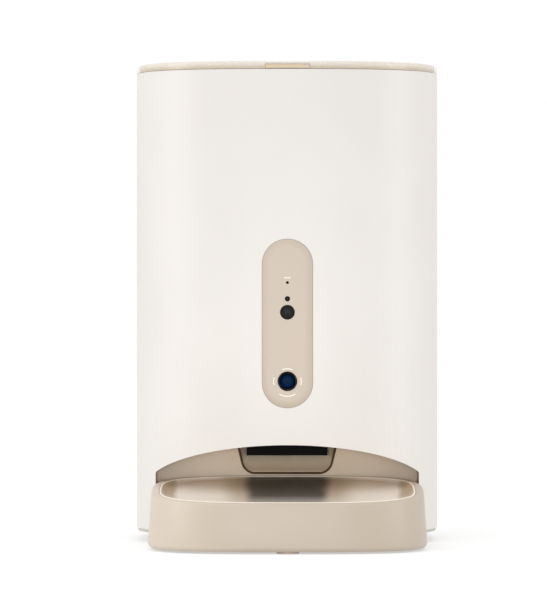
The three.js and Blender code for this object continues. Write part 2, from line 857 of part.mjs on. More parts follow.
function portionRotor() {
  let rotor = postZ(rotorHubRadius, 0, rotorY, rotorBottom, rotorTop);
  for (let blade = 0; blade < rotorBladeCount; blade += 1) {
    const geometry = new THREE.BoxGeometry(rotorRadius, rotorBladeThickness, rotorHeight);
    geometry.translate(rotorRadius / 2, 0, rotorBottom + rotorHeight / 2);
    geometry.rotateZ((blade / rotorBladeCount) * Math.PI * 2 + Math.PI / rotorBladeCount);
    rotor = rotor.add(solidOf(geometry.translate(0, rotorY, 0)));
  }
  return rotor.subtract(postZ(shaftRadius + gap, 0, rotorY, rotorBottom - overrun, rotorTop + overrun));
}

function agitator() {
  const bottom = rotorTop + gap;
  const top = bottom + agitatorHeight;
  const cone = postZ(agitatorRadius, 0, rotorY, bottom, top, roundCount, agitatorTipRadius);
  const armHeight = bottom + agitatorArmLift;
  const arm = postX(agitatorArmRadius, rotorY, armHeight, -agitatorArmReach, agitatorArmReach, smallRoundCount);
  const socketTop = bottom + agitatorArmLift / 2;
  return cone.add(arm).subtract(postZ(shaftRadius + gap, 0, rotorY, bottom - overrun, socketTop));
}

function outletCover() {
  const half = THREE.MathUtils.degToRad(coverSectorDegrees / 2);
  const outer = chamberRadius - gap;
  const shape = new THREE.Shape();
  const start = -Math.PI / 2 - half;
  const end = -Math.PI / 2 + half;
  shape.absarc(0, 0, outer, start, end, false);
  shape.absarc(0, 0, coverInnerRadius, end, start, true);
  const geometry = extruded(shape, coverThickness).translate(0, rotorY, coverBottom);
  return solidOf(geometry);
}

function idlerGear() {
  const halfTooth = Math.PI / pinionTeethCount;
  const big = gear(wheelTeethCount, Math.PI / 2, idlerY, lowGearBottom);
  const small = gear(pinionTeethCount, Math.PI / 2 + halfTooth, idlerY, highGearBottom);
  const rootRadius = gearModule * (pinionTeethCount / 2 - toothDedendumShare);
  const hub = postZ(rootRadius, 0, idlerY, lowGearBottom, highGearBottom + gearWidth);
  const bore = postZ(axleRadius + gap, 0, idlerY, caseBottom, deckBottom, smallRoundCount);
  return together([big, small, hub]).subtract(bore);
}

function motorPinion() {
  const halfTooth = Math.PI / pinionTeethCount;
  const teeth = gear(pinionTeethCount, Math.PI / 2 + halfTooth, motorY, lowGearBottom);
  const bottom = caseBottom - coverPlateThickness - motorShaftDepth + gap;
  return teeth.add(postZ(motorShaftRadius, 0, motorY, bottom, lowGearBottom + gearWidth, smallRoundCount));
}

function caseOutline(inset) {
  return stadiumOutline(caseRadius - inset, rotorY - caseRadius + inset, caseRearY + caseRadius - inset);
}

function gearboxCase() {
  const outer = prismZ(caseOutline(0), caseBottom, deckBottom);
  const inner = prismZ(caseOutline(caseWall), caseBottom - overrun, deckBottom - caseTopThickness);
  const shaftHole = postZ(shaftRadius + gap, 0, rotorY, caseBottom, deckBottom + overrun);
  return outer.subtract(inner).subtract(shaftHole);
}

function gearboxCover() {
  const top = caseBottom;
  const bottom = caseBottom - coverPlateThickness;
  const plate = prismZ(caseOutline(0), bottom, top);
  const holes = [
    postZ(shaftRadius + gap, 0, rotorY, bottom - overrun, top + overrun),
    postZ(motorShaftRadius + gap, 0, motorY, bottom - overrun, top + overrun, smallRoundCount),
  ];
  return plate.subtract(together(holes));
}

function driveMotor() {
  const top = caseBottom - coverPlateThickness;
  const can = postZ(motorRadius, 0, motorY, top - motorHeight, top);
  const bore = postZ(motorShaftRadius + gap, 0, motorY, top - motorShaftDepth, top + overrun, smallRoundCount);
  return can.subtract(bore);
}

function batteryBox() {
  const outer = block(
    -boxInnerHalfWidth - boxWall,
    boxInnerHalfWidth + boxWall,
    boxInnerFrontY - boxWall,
    boxInnerRearY + boxWall,
    baseTop,
    boxTop,
  );
  const inner = block(
    -boxInnerHalfWidth,
    boxInnerHalfWidth,
    boxInnerFrontY,
    boxInnerRearY,
    baseTop - overrun,
    boxTop - boxWall,
  );
  return outer.subtract(inner);
}

function batteryContact(side) {
  const outerX = side * (boxInnerHalfWidth - gap);
  const innerX = side * (boxInnerHalfWidth - gap - contactThickness);
  return block(
    Math.min(outerX, innerX),
    Math.max(outerX, innerX),
    boxInnerFrontY + boxSideRoom,
    boxInnerRearY - boxSideRoom,
    cellHeight - contactHeight / 2,
    cellHeight + contactHeight / 2,
  );
}

function batteryCell(index) {
  const y = cellMiddleY + (index - (cellCount - 1) / 2) * cellPitch;
  const side = index % 2 === 0 ? 1 : -1;
  const half = cellLength / 2;
  const can = postX(cellRadius, y, cellHeight, -half, half);
  const tipEdges = [side * (half - overrun), side * (half + cellTipLength)];
  const [tipStart, tipEnd] = [Math.min(...tipEdges), Math.max(...tipEdges)];
  const tip = postX(cellTipRadius, y, cellHeight, tipStart, tipEnd, smallRoundCount);
  return can.add(tip);
}

function batteryDoor() {
  let door = block(-doorHalfWidth, doorHalfWidth, doorFrontY, doorRearY, footHeight, baseTop - gap);
  for (let rib = 0; rib < doorGripCount; rib += 1) {
    const y = doorRearY - doorGripLength + rib * doorGripWidth * 2;
    door = door.subtract(
      block(
        -doorGripLength,
        doorGripLength,
        y,
        y + doorGripWidth,
        footHeight - overrun,
        footHeight + doorGripDepth,
      ),
    );
  }
  return door;
}

// The camera's front plate follows the curve of the shell
function plateSlice(outline, outerInset, innerInset) {
  const bottom = plateBottom - plateHalfWidth;
  const top = plateTop + plateHalfWidth;
  const band = prismZ(bodyOutline(outerInset), bottom, top);
  const hollow = prismZ(bodyOutline(innerInset), bottom - overrun, top + overrun);
  return prismY(outline, -bodyHalfDepth - overrun, deckNotchY).intersect(band.subtract(hollow));
}

function plateOutline(grow) {
  return stadiumOutline(plateHalfWidth + grow, plateBottom - grow, plateTop + grow);
}

function frontPlate() {
  const skin = plateSlice(plateOutline(0), 0, shellWall);
  const rim = plateSlice(plateOutline(0), shellWall / 2, plateBack);
  const flange = plateSlice(plateOutline(plateFlangeWidth), shellWall + gap, plateBack);
  const room = plateSlice(plateOutline(-plateRimWidth), shellWall, plateBack + shellWall);
  const front = -bodyHalfDepth - overrun;
  const back = -innerHalfDepth + overrun;
  const holes = [
    postY(lensRadius + gap, 0, lensHeight, front, back),
    postY(infraredRadius + gap, 0, infraredHeight, front, back),
    postY(sensorRadius + gap, 0, sensorHeight, front, back, smallRoundCount),
    postY(microphoneHoleRadius, 0, microphoneHeight, front, back, smallRoundCount),
  ];
  return together([skin, rim, flange]).subtract(room).subtract(together(holes));
}

function plateWindow(radius, height, inset) {
  const front = -bodyHalfDepth + inset;
  const seat = -innerHalfDepth + gap;
  const disc = postY(radius, 0, height, front, seat + windowFlangeThickness);
  return disc.add(postY(radius + windowFlangeWidth, 0, height, seat, seat + windowFlangeThickness));
}

function lensBarrel() {
  const front = -bodyHalfDepth;
  const back = boardFrontY - gap;
  const barrel = postY(lensRadius, 0, lensHeight, front, back);
  const bore = lensGlassRadius + gap;
  const bed = front + lensGlassInset + lensGlassBulge + lensGlassThickness + gap;
  return barrel.subtract(postY(bore, 0, lensHeight, front - overrun, bed));
}

function lensGlass() {
  const sphereRadius = (lensGlassRadius ** 2 + lensGlassBulge ** 2) / (2 * lensGlassBulge);
  const half = Math.asin(lensGlassRadius / sphereRadius);
  const profile = [new THREE.Vector2(0, -lensGlassThickness)];
  profile.push(new THREE.Vector2(lensGlassRadius, -lensGlassThickness));
  for (let step = 0; step <= smallRoundCount / 2; step += 1) {
    const angle = half * (1 - step / (smallRoundCount / 2));
    const height = sphereRadius * Math.cos(angle) - sphereRadius + lensGlassBulge;
    profile.push(new THREE.Vector2(step === smallRoundCount / 2 ? 0 : sphereRadius * Math.sin(angle), height));
  }
  const geometry = new THREE.LatheGeometry(profile, roundCount).rotateX(Math.PI);
  const seat = -bodyHalfDepth + lensGlassInset + lensGlassBulge;
  return solidOf(geometry.translate(0, seat, lensHeight));
}

function cameraHousing() {
  const front = -bodyHalfDepth + plateBack + housingSeatGap;
  const back = front + housingDepth;
  const outline = (inset) =>
    stadiumOutline(
      housingHalfWidth - inset,
      plateBottom - overrun + inset,
      plateTop + overrun - inset,
    );
  const outer = prismY(outline(0), front, back);
  return outer.subtract(prismY(outline(housingWall), front - overrun, back - housingWall));
}

function cameraBoard() {
  const inset = housingWall + boardEdgeGap;
  const outline = stadiumOutline(
    housingHalfWidth - inset,
    plateBottom - overrun + inset,
    plateTop + overrun - inset,
  );
  return prismY(outline, boardFrontY, boardFrontY + boardThickness);
}

function mainBoard() {
  const half = mainBoardHalfWidth;
  const top = deckTop + mainBoardHeight;
  const board = block(-half, half, mainBoardY, mainBoardY + boardThickness, deckTop, top);
  const back = mainBoardY + boardThickness;
  const chips = chipPlaceShares.map(([acrossShare, upShare]) => {
    const x = half * acrossShare;
    const z = deckTop + mainBoardHeight * upShare;
    return block(x, x + chipSize, back - boardThickness / 2, back + chipThickness, z, z + chipSize);
  });
  return board.add(together(chips));
}

function rearBoard() {
  const half = rearBoardHalfWidth;
  const back = rearBoardY + boardThickness;
  const board = block(-half, half, rearBoardY, back, boxTop + gap, rearBoardTop - gap);
  const switchBack = buttonInnerY - buttonTravel - gap;
  const switchBody = block(
    -switchHalfSize,
    switchHalfSize,
    back - boardThickness / 2,
    switchBack,
    buttonHeight - switchHalfSize,
    buttonHeight + switchHalfSize,
  );
  return board.add(switchBody);
}

function pairButton() {
  const cap = postY(buttonRadius, 0, buttonHeight, buttonInnerY, bodyHalfDepth - buttonInset);
  const flangeRadius = buttonRadius + buttonFlangeWidth;
  return cap.add(postY(flangeRadius, 0, buttonHeight, buttonInnerY, buttonFlangeY));
}

function powerSocket() {
  const front = rearBoardY + boardThickness;
  const back = innerHalfDepth - gap;
  const size = socketHalfSize;
  const noseBack = bodyHalfDepth - socketNoseInset;
  const body = block(-size, size, front, back, socketHeight - size, socketHeight + size);
  const nose = postY(socketNoseRadius, 0, socketHeight, back - overrun, noseBack);
  const bore = postY(socketBoreRadius, 0, socketHeight, noseBack - socketBoreDepth, bodyHalfDepth);
  return body.add(nose).subtract(bore);
}

function socketPin() {
  const noseBack = bodyHalfDepth - socketNoseInset;
  const front = noseBack - socketBoreDepth;
  return postY(socketPinRadius, 0, socketHeight, front, noseBack - socketPinInset, smallRoundCount);
}

// The lid and the fixed bridge behind it share one outline, parted at the hinge
function lidSlab(inset, bottom, top) {
  return prismZ(bodyOutline(inset), bottom, top);
}

function behind(y, solid) {
  const room = block(-bodyHalfWidth, bodyHalfWidth, y, bodyHalfDepth + overrun, 0, lidTop + overrun);
  return solid.intersect(room);
}

function ahead(y, solid) {
  const room = block(
    -bodyHalfWidth - overrun,
    bodyHalfWidth + overrun,
    -bodyHalfDepth - overrun,
    y,
    0,
    lidTop + overrun,
  );
  return solid.intersect(room);
}

function chamferedSlab(bottom) {
  const ring = (inset, height) =>
    squircleRing(bodyHalfWidth - inset, bodyHalfDepth - inset, bodyRoundnessShare, 0, height);
  return loft([ring(0, bottom), ring(0, lidTop - lidEdgeChamfer), ring(lidEdgeChamfer, lidTop)]);
}

function knuckleSpans(grow) {
  return [-1, 1].map((side) => {
    const edges = [side * (knuckleStart - grow), side * (knuckleEnd + grow)];
    return [Math.min(...edges), Math.max(...edges)];
  });
}

function hingeBridge() {
  const slab = behind(hingeY, chamferedSlab(shellTop));
  const sideShare = squircleShare(hingeY / bodyHalfDepth, bodyRoundnessShare);
  const noseHalf = bodyHalfWidth * sideShare - lidEdgeChamfer;
  let bridge = slab.add(postX(hingeRadius, hingeY, hingeHeight, -noseHalf, noseHalf));
  knuckleSpans(knuckleSideGap).forEach(([left, right]) => {
    const window = block(
      left,
      right,
      hingeY - hingeRadius - overrun,
      hingeY + knuckleRearRoom,
      shellTop - overrun,
      lidTop + overrun,
    );
    bridge = bridge.subtract(window);
  });
  const bore = postX(
    hingePinRadius + gap,
    hingeY,
    hingeHeight,
    -hingePinHalfLength - gap,
    hingePinHalfLength + gap,
    smallRoundCount,
  );
  return bridge.subtract(bore);
}

function latchSlot(top) {
  const half = latchHalfWidth + latchSideGap;
  const back = -bodyHalfDepth + latchFaceInset + latchDepth + latchTravel + latchSideGap;
  return block(-half, half, -bodyHalfDepth - overrun, back, lidBottom - overrun, top);
}

function lidPanel() {
  const slab = ahead(lidRearY, chamferedSlab(lidBottom));
  const pocket = lidSlab(lidSkirt, lidBottom - overrun, lidTop - lidSkin);
  return slab.subtract(pocket).subtract(latchSlot(lidTop - lidSkin));
}

function lidFrame() {
  let frame = ahead(lidRearY, lidSlab(lidSkirt + gap, lidBottom, frameTop));
  [-1, 1].forEach((side) => {
    const edges = [side * frameWindowInnerX, side * frameWindowOuterX];
    const window = roundedRectangle(
      Math.min(...edges),
      Math.max(...edges),
      hopperCentreY - frameWindowHalfLength,
      hopperCentreY + frameWindowHalfLength,
      frameWindowRadius,
    );
    frame = frame.subtract(prismZ(window, lidBottom - overrun, frameTop + overrun));
  });
  const dish = postZ(desiccantRadius, 0, hopperCentreY, lidBottom + frameFloor, frameTop + overrun);
  frame = frame.subtract(dish).subtract(latchSlot(frameTop + overrun));
  knuckleSpans(0).forEach(([left, right]) => {
    const arm = block(left, right, lidRearY - overrun, hingeY, hingeHeight - hingeRadius, frameTop);
    frame = frame.add(arm).add(postX(hingeRadius, hingeY, hingeHeight, left, right, smallRoundCount));
    const bore = hingePinRadius + gap;
    const hole = postX(bore, hingeY, hingeHeight, left - overrun, right + overrun, smallRoundCount);
    frame = frame.subtract(hole);
  });
  return frame;
}

function lidSeal() {
  const middle = hopperWall / 2;
  const bottom = hopperFlangeBottom + hopperFlangeThickness + collarHeight + gap;
  const outline = (inset) => {
    const halfWidth = hopperHalfWidth - inset;
    const halfDepth = hopperHalfDepth - inset;
    return new THREE.Shape(squirclePoints(halfWidth, halfDepth, hopperRoundnessShare, hopperCentreY));
  };
  const outer = prismZ(outline(middle - sealRingWidth / 2), bottom, lidBottom);
  const hole = prismZ(outline(middle + sealRingWidth / 2), bottom - overrun, lidBottom + overrun);
  return outer.subtract(hole);
}

function lidLatch() {
  const front = -bodyHalfDepth + latchFaceInset;
  const back = front + latchDepth;
  const body = block(-latchHalfWidth, latchHalfWidth, front, back, lidBottom + gap, frameTop);
  const nose = block(
    -latchNoseHalfWidth,
    latchNoseHalfWidth,
    latchNoseInset - bodyHalfDepth,
    latchNoseInset - bodyHalfDepth + latchNoseThickness,
    lidBottom - latchNoseDrop,
    frameTop,
  );
  return body.add(nose);
}

function desiccantBox() {
  const outer = postZ(desiccantRadius, 0, hopperCentreY, lidBottom - desiccantHeight, lidBottom);
  const innerRadius = desiccantRadius - desiccantWall;
  const bottom = lidBottom - desiccantHeight - overrun;
  return outer.subtract(postZ(innerRadius, 0, hopperCentreY, bottom, lidBottom - desiccantWall));
}

function desiccantCover() {
  const top = lidBottom - desiccantHeight - gap;
  const bottom = top - desiccantCoverThickness;
  let cover = postZ(desiccantRadius, 0, hopperCentreY, bottom, top);
  const plugRadius = desiccantRadius - desiccantWall - desiccantPlugGap;
  cover = cover.add(postZ(plugRadius, 0, hopperCentreY, top - overrun, top + desiccantCoverThickness));
  for (let slot = 0; slot < desiccantSlotCount; slot += 1) {
    const height = desiccantCoverThickness * 2 + overrun * 2;
    const geometry = new THREE.BoxGeometry(desiccantSlotLength, desiccantSlotWidth, height);
    geometry.translate(desiccantRadius / 2 + desiccantSlotWidth, 0, top);
    geometry.rotateZ((slot / desiccantSlotCount) * Math.PI * 2).translate(0, hopperCentreY, 0);
    cover = cover.subtract(solidOf(geometry));
  }
  return cover;
}

// The tray's rim plane rises towards the tower, and the bowl lies parallel to it at its top
function bowlRings(grow, collar) {
  const ring = (inset, drop, slopeShare) =>
    squircleRing(
      bowlHalfWidth - inset + grow,
      bowlHalfDepth - inset + grow,
      trayRoundnessShare,
      trayCentreY,
      trayRimHeight - drop,
      slopeShare,
    );
  const rings = [
    ring(bowlFloorInset, bowlFloorDrop + grow, bowlFloorSlopeShare),
    ring(bowlShoulderInset, bowlShoulderDrop + grow / 2, bowlShoulderSlopeShare),
    ring(0, gap, trayRimSlopeShare),
  ];
  return collar > 0 ? [...rings, ring(0, gap - collar, trayRimSlopeShare)] : rings;
}

function trayRings(inset, bottom, topDrop) {
  const ring = (extra, height, slopeShare) =>
    squircleRing(
      trayHalfWidth - inset - extra,
      trayHalfDepth - inset - extra,
      trayRoundnessShare,
      trayCentreY,
      height,
      slopeShare,
    );
  return [
    ring(trayBottomChamfer, bottom, 0),
    ring(0, bottom + trayBottomChamfer, 0),
    ring(trayDraft, trayRimHeight - topDrop, trayRimSlopeShare),
  ];
}

function feedingTray() {
  const seat = loft(bowlRings(gap, overrun));
  const seatWall = loft(bowlRings(gap + trayWall, overrun));
  const hollow = loft(trayRings(trayWall, traySkirtBottom - overrun, trayWall)).subtract(seatWall);
  let tray = loft(trayRings(0, traySkirtBottom, 0)).subtract(hollow).subtract(seat);
  const step = prismZ(bodyOutline(-trayStepGap), 0, baseTop + gap);
  tray = tray.subtract(step);
  const frontNubY = trayCentreY - trayHalfDepth + nubFrontInset;
  const sideNubX = trayHalfWidth - nubSideInset;
  const sideNubY = trayCentreY - nubSideSetback;
  const places = [[0, frontNubY], [-sideNubX, sideNubY], [sideNubX, sideNubY]];
  const nubs = places.map(([x, y]) => postZ(nubRadius, x, y, 0, nubHeight));
  return tray.add(together(nubs));
}

function steelBowl() {
  const outer = loft(bowlRings(0, 0));
  return outer.subtract(loft(bowlRings(-bowlSheet, overrun)));
}

// Tower
addPart('body_shell', bodyShell(), white, 0.45);
addPart('base_plate', basePlate(), paleGrey, 0.6);
[[-1, frontFootY, 'front_left'], [1, frontFootY, 'front_right'], [-1, rearFootY, 'rear_left'],
  [1, rearFootY, 'rear_right']].forEach(([side, y, place]) => {
  addPart(`foot_${place}`, postZ(footRadius, side * footX, y, 0, footHeight), rubber, 0.85);
});
bossPlaces.forEach(([x, y], index) => {
  const head = postZ(screwHeadRadius, x, y, footHeight - screwHeadHeight, footHeight);
  const shankTop = footHeight + screwShankLength;
  const shank = postZ(screwShankRadius, x, y, footHeight - screwHeadHeight, shankTop, smallRoundCount);
  addPart(`base_screw_${index + 1}`, head.add(shank), steel, 0.35, 1);
});
addPart('recess_housing', recessHousing(), warmBeige, 0.5);
addPart('mid_deck', midDeck(), paleGrey, 0.6);

// Food path
addPart('chute', chute(), warmBeige, 0.35);
addPart('outlet_flap', outletFlap(), black, 0.5);
const flapPinHalf = chuteHalfWidth + chuteWall;
addPart(
  'flap_pin',
  postX(flapPinRadius, flapY, flapPinHeight, -flapPinHalf, flapPinHalf, smallRoundCount),
  steel,
  0.3,
  1,
);
addPart('hopper', hopper(), paleGrey, 0.4);
addPart('portion_rotor', portionRotor(), beige, 0.6);
addPart('agitator', agitator(), beige, 0.5);
addPart('outlet_cover', outletCover(), beige, 0.5);
addPart('rotor_shaft', postZ(shaftRadius, 0, rotorY, shaftBottom, shaftTop), steel, 0.3, 1);
const sealRing = postZ(sealRadius - gap, 0, rotorY, deckTop - sealHeight, deckTop + gap);
const sealBore = postZ(shaftRadius + gap, 0, rotorY, deckBottom, chamberFloorTop);
addPart('shaft_seal', sealRing.subtract(sealBore), rubber, 0.8);

// Drive
const outputBore = postZ(shaftRadius + gap, 0, rotorY, caseBottom, deckBottom);
const outputTurn = Math.PI / 2;
const outputWheel = gear(wheelTeethCount, outputTurn, rotorY, highGearBottom);
addPart('output_gear', outputWheel.subtract(outputBore), white, 0.5);
addPart('idler_gear', idlerGear(), white, 0.5);
const axleTop = deckBottom - caseTopThickness;
addPart('idler_axle', postZ(axleRadius, 0, idlerY, caseBottom, axleTop, smallRoundCount), steel, 0.3, 1);
addPart('motor_pinion', motorPinion(), steel, 0.4, 1);
addPart('gearbox_case', gearboxCase(), paleGrey, 0.5);
addPart('gearbox_cover', gearboxCover(), paleGrey, 0.5);
addPart('drive_motor', driveMotor(), steel, 0.35, 1);

// Batteries
addPart('battery_box', batteryBox(), paleGrey, 0.6);
addPart('battery_contact_left', batteryContact(-1), steel, 0.3, 1);
addPart('battery_contact_right', batteryContact(1), steel, 0.3, 1);
for (let index = 0; index < cellCount; index += 1) {
  addPart(`battery_cell_${index + 1}`, batteryCell(index), steel, 0.4, 1);
}
addPart('battery_door', batteryDoor(), paleGrey, 0.6);

// Camera and electronics
addPart('front_plate', frontPlate(), beige, 0.4);
addPart('lens_barrel', lensBarrel(), black, 0.3);
addPart('lens_glass', lensGlass(), lensBlue, 0.05);
addPart('infrared_window', plateWindow(infraredRadius, infraredHeight, gap), smoke, 0.2);
addPart('light_sensor', plateWindow(sensorRadius, sensorHeight, gap), black, 0.2);
const microphoneFront = -innerHalfDepth + gap;
const microphoneBack = microphoneFront + microphoneLength;
addPart(
  'microphone',
  postY(microphoneRadius, 0, microphoneHeight, microphoneFront, microphoneBack, smallRoundCount),
  black,
  0.5,
);
addPart('camera_housing', cameraHousing(), black, 0.6);
addPart('camera_board', cameraBoard(), boardGreen, 0.5);
addPart('main_board', mainBoard(), boardGreen, 0.5);
addPart('rear_board', rearBoard(), boardGreen, 0.5);
addPart('speaker', postZ(speakerRadius, 0, speakerY, deckBottom - speakerHeight, deckBottom), black, 0.6);
addPart('power_socket', powerSocket(), black, 0.5);
addPart('socket_pin', socketPin(), steel, 0.3, 1);
addPart('pair_button', pairButton(), paleGrey, 0.5);

// Lid
addPart('hinge_bridge', hingeBridge(), beige, 0.45);
addPart(
  'hinge_pin',
  postX(hingePinRadius, hingeY, hingeHeight, -hingePinHalfLength, hingePinHalfLength, smallRoundCount),
  steel,
  0.3,
  1,
);
addPart('lid_panel', lidPanel(), clear, 0.1);
addPart('lid_frame', lidFrame(), beige, 0.45);
addPart('lid_seal', lidSeal(), white, 0.8);
addPart('lid_latch', lidLatch(), beige, 0.4);
addPart('desiccant_box', desiccantBox(), white, 0.5);
addPart('desiccant_cover', desiccantCover(), white, 0.5);

// Tray
addPart('feeding_tray', feedingTray(), beige, 0.45);
addPart('steel_bowl', steelBowl(), steel, 0.3, 1);

export default feeder;
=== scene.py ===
# %% [markdown]
# # A pet feeder with a camera
# The mechanical model is loaded first. It is the frame that everything below is fitted to: each
# new piece takes its place and size from the solid it stands for, and rides on the same body.
# Lengths are metres, or millimetres times MM. Radii, insets and places along Y are plain
# millimetres where a helper turns them into metres.

# %% Load the frame
from math import copysign, cos, hypot, pi, radians, sin, tau

import bmesh
import bpy
from mathutils import Matrix, Vector


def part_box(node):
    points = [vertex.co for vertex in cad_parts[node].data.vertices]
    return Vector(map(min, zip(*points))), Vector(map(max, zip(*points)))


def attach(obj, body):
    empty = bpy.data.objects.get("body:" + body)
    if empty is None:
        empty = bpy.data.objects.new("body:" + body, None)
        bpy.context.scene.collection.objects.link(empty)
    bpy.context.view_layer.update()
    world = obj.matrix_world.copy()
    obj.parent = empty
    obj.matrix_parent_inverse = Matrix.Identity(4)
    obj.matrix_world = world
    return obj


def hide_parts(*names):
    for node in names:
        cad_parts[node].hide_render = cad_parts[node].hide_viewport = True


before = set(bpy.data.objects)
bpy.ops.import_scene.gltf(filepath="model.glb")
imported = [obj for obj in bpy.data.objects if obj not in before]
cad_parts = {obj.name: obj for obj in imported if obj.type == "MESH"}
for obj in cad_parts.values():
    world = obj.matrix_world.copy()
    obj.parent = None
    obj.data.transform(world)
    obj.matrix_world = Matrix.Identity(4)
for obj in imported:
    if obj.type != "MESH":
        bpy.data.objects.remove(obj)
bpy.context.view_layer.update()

MM = 0.001

# %% [markdown]
# ## Camera
# The tower's top and bottom edges curve by the same amount in the photograph, so the camera is
# level, at the height of the picture's middle. A long lens from nearly three metres gives the
# same flat perspective. The tower stands a little right of the middle, so the camera is a little
# to the left.

# %% Camera
shell_low, shell_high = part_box("body_shell")
tower_middle = (shell_low + shell_high) / 2
tower_front = shell_low.y
CAMERA_DISTANCE = 2.85
CAMERA_HEIGHT = 0.159
CAMERA_SIDE = -0.009
CAMERA_LENS = 264.2
CAMERA_SENSOR = 36


def new_object(name, data):
    """An object in the scene."""
    item = bpy.data.objects.new(name, data)
    bpy.context.scene.collection.objects.link(item)
    return item


camera_data = bpy.data.cameras.new("studio_camera")
camera_data.lens = CAMERA_LENS
camera_data.sensor_width = CAMERA_SENSOR
camera = new_object("studio_camera", camera_data)
camera.location = (CAMERA_SIDE, tower_front - CAMERA_DISTANCE, CAMERA_HEIGHT)
camera.rotation_euler = (radians(90), 0, 0)
bpy.context.scene.camera = camera
print("camera stands", CAMERA_DISTANCE, "m in front of the tower")

# %% [markdown]
# ## Light and floor
# The feeder stands in an evenly lit white studio. A plain white world does most of the work:
# under it every open surface comes out at about its own colour. A wide lamp low in front reaches
# into the arch, two more light the sides, the left one more than the right one, and a soft sun
# keeps the floor white. A narrow spot, soft to its edge, adds what the arch needs. The floor
# keeps the object's shadow.

# %% Helpers for shader nodes
def set_inputs(node, values):
    """Links or writes each value into the node's input of that name."""
    for name, value in values.items():
        if isinstance(value, bpy.types.NodeSocket):
            node.id_data.links.new(value, node.inputs[name])
        else:
            node.inputs[name].default_value = value


def new_node(tree, kind, values, output, **settings):
    """One output of a new node with its settings and inputs."""
    node = tree.nodes.new("ShaderNode" + kind)
    for setting, value in settings.items():
        setattr(node, setting, value)
    set_inputs(node, values)
    return node.outputs[output]


# %% [markdown]
# The world shows plain white to the camera and is a little darker as a light. Each lamp has its
# own line in a table. The floor glows faintly, so that it fades into the white behind it.

# %% World, lamps and floor
WORLD_LEVEL = 0.92
SUN_LEVEL = 0.8
SUN_ANGLE = 60
SUN_TILT = (20, -8)
ARCH_POWER = 54.0
ARCH_CONE = 6.2
FLOOR_HALF = 6.0
FLOOR_BASE = 0.45
FLOOR_GLOW = 0.5

scene = bpy.context.scene
scene.view_settings.view_transform = "Standard"
world = bpy.data.worlds.new("studio_world")
scene.world = world
world.use_nodes = True
tree = world.node_tree
camera_ray = new_node(tree, "LightPath", {}, "Is Camera Ray")
levels = {"Value": camera_ray, "To Min": WORLD_LEVEL, "To Max": 1.0}
strength = new_node(tree, "MapRange", levels, "Result")
set_inputs(tree.nodes["Background"], {"Color": (1, 1, 1, 1), "Strength": strength})


def new_lamp(name, kind, power, place=(0, 0, 0), target=None, **settings):
    """A lamp with its settings, which points at a target if it has one."""
    data = bpy.data.lights.new(name, kind)
    data.energy = power
    for setting, value in settings.items():
        setattr(data, setting, value)
    lamp = new_object(name, data)
    lamp.location = place
    if target:
        lamp.rotation_euler = (Vector(target) - Vector(place)).to_track_quat("-Z", "Y").to_euler()
    return lamp


# Name, power, place, height of the aim on the tower's front, width and height of the lamp.
area_lamps = (
    ("front_lamp", 4.5, (-0.1, -2.35, 0.18), 0.1, 0.9, 0.28),
    ("key_lamp", 17.5, (-2.6, -0.75, 0.9), 0.16, 1.4, 1.4),
    ("fill_lamp", 13.5, (2.6, -0.75, 0.7), 0.16, 1.4, 1.4),
)
for name, power, place, aim, width, height in area_lamps:
    new_lamp(name, "AREA", power, place, (0, tower_front, aim),
             shape="RECTANGLE", size=width, size_y=height)
sun = new_lamp("ceiling_sun", "SUN", SUN_LEVEL, angle=radians(SUN_ANGLE))
sun.rotation_euler = (radians(SUN_TILT[0]), radians(SUN_TILT[1]), 0)
new_lamp("arch_spot", "SPOT", ARCH_POWER, (0, -2.2, 0.12), (0, 0.02, 0.056),
         spot_size=radians(ARCH_CONE), spot_blend=1.0, shadow_soft_size=0.15)

floor_mesh = bmesh.new()
bmesh.ops.create_grid(floor_mesh, x_segments=1, y_segments=1, size=FLOOR_HALF)
floor_data = bpy.data.meshes.new("studio_floor")
floor_mesh.to_mesh(floor_data)
floor_mesh.free()
floor = new_object("studio_floor", floor_data)
floor_material = bpy.data.materials.new("studio_floor")
floor_material.use_nodes = True
tree = floor_material.node_tree
set_inputs(tree.nodes["Principled BSDF"], {
    "Base Color": (FLOOR_BASE, FLOOR_BASE, FLOOR_BASE, 1),
    "Emission Color": (1, 1, 1, 1),
    "Emission Strength": FLOOR_GLOW,
    "Roughness": 0.9,
    "Specular IOR Level": 0.1,
})
floor_data.materials.append(floor_material)
print("three lamps, a spot, a soft sun and a floor", 2 * FLOOR_HALF, "m wide")

# %% [markdown]
# ## Finishes
# Nearly everything on the feeder is satin moulded plastic, with a very fine grain, a slow wave in
# its gloss and a trace of colour change. All three are noise on object coordinates, which stay
# put on the piece from any side. Colours are written as they look on screen and turned into the
# linear values that the shader works in.

# %% Helpers for finishes
def screen_color(red, green, blue):
    """A colour of 0 to 255 as seen on screen, in the shader's linear values."""
    def linear(value):
        share = value / 255
        return share / 12.92 if share <= 0.04045 else ((share + 0.055) / 1.055) ** 2.4
    return (linear(red), linear(green), linear(blue), 1.0)


def scaled(color, share):
    """The same colour, lighter or darker by a share."""
    return tuple(min(1.0, part * share) for part in color[:3]) + (1.0,)


def new_finish(name):
    """A material with its principled shader and object coordinates."""
    material = bpy.data.materials.new(name)
    material.use_nodes = True
    tree = material.node_tree
    return material, tree.nodes["Principled BSDF"], new_node(tree, "TexCoord", {}, "Object")


def noise(place, scale, detail):
    """A noise texture's value."""
    values = {"Vector": place, "Scale": scale, "Detail": detail}
    return new_node(place.id_data, "TexNoise", values, "Fac")


def lines_of(place, stretch, detail):
    """Noise drawn out into fine lines along the axis of the smallest stretch."""
    values = {"Vector": place, "Scale": stretch}
    return noise(new_node(place.id_data, "Mapping", values, "Vector"), 1.0, detail)


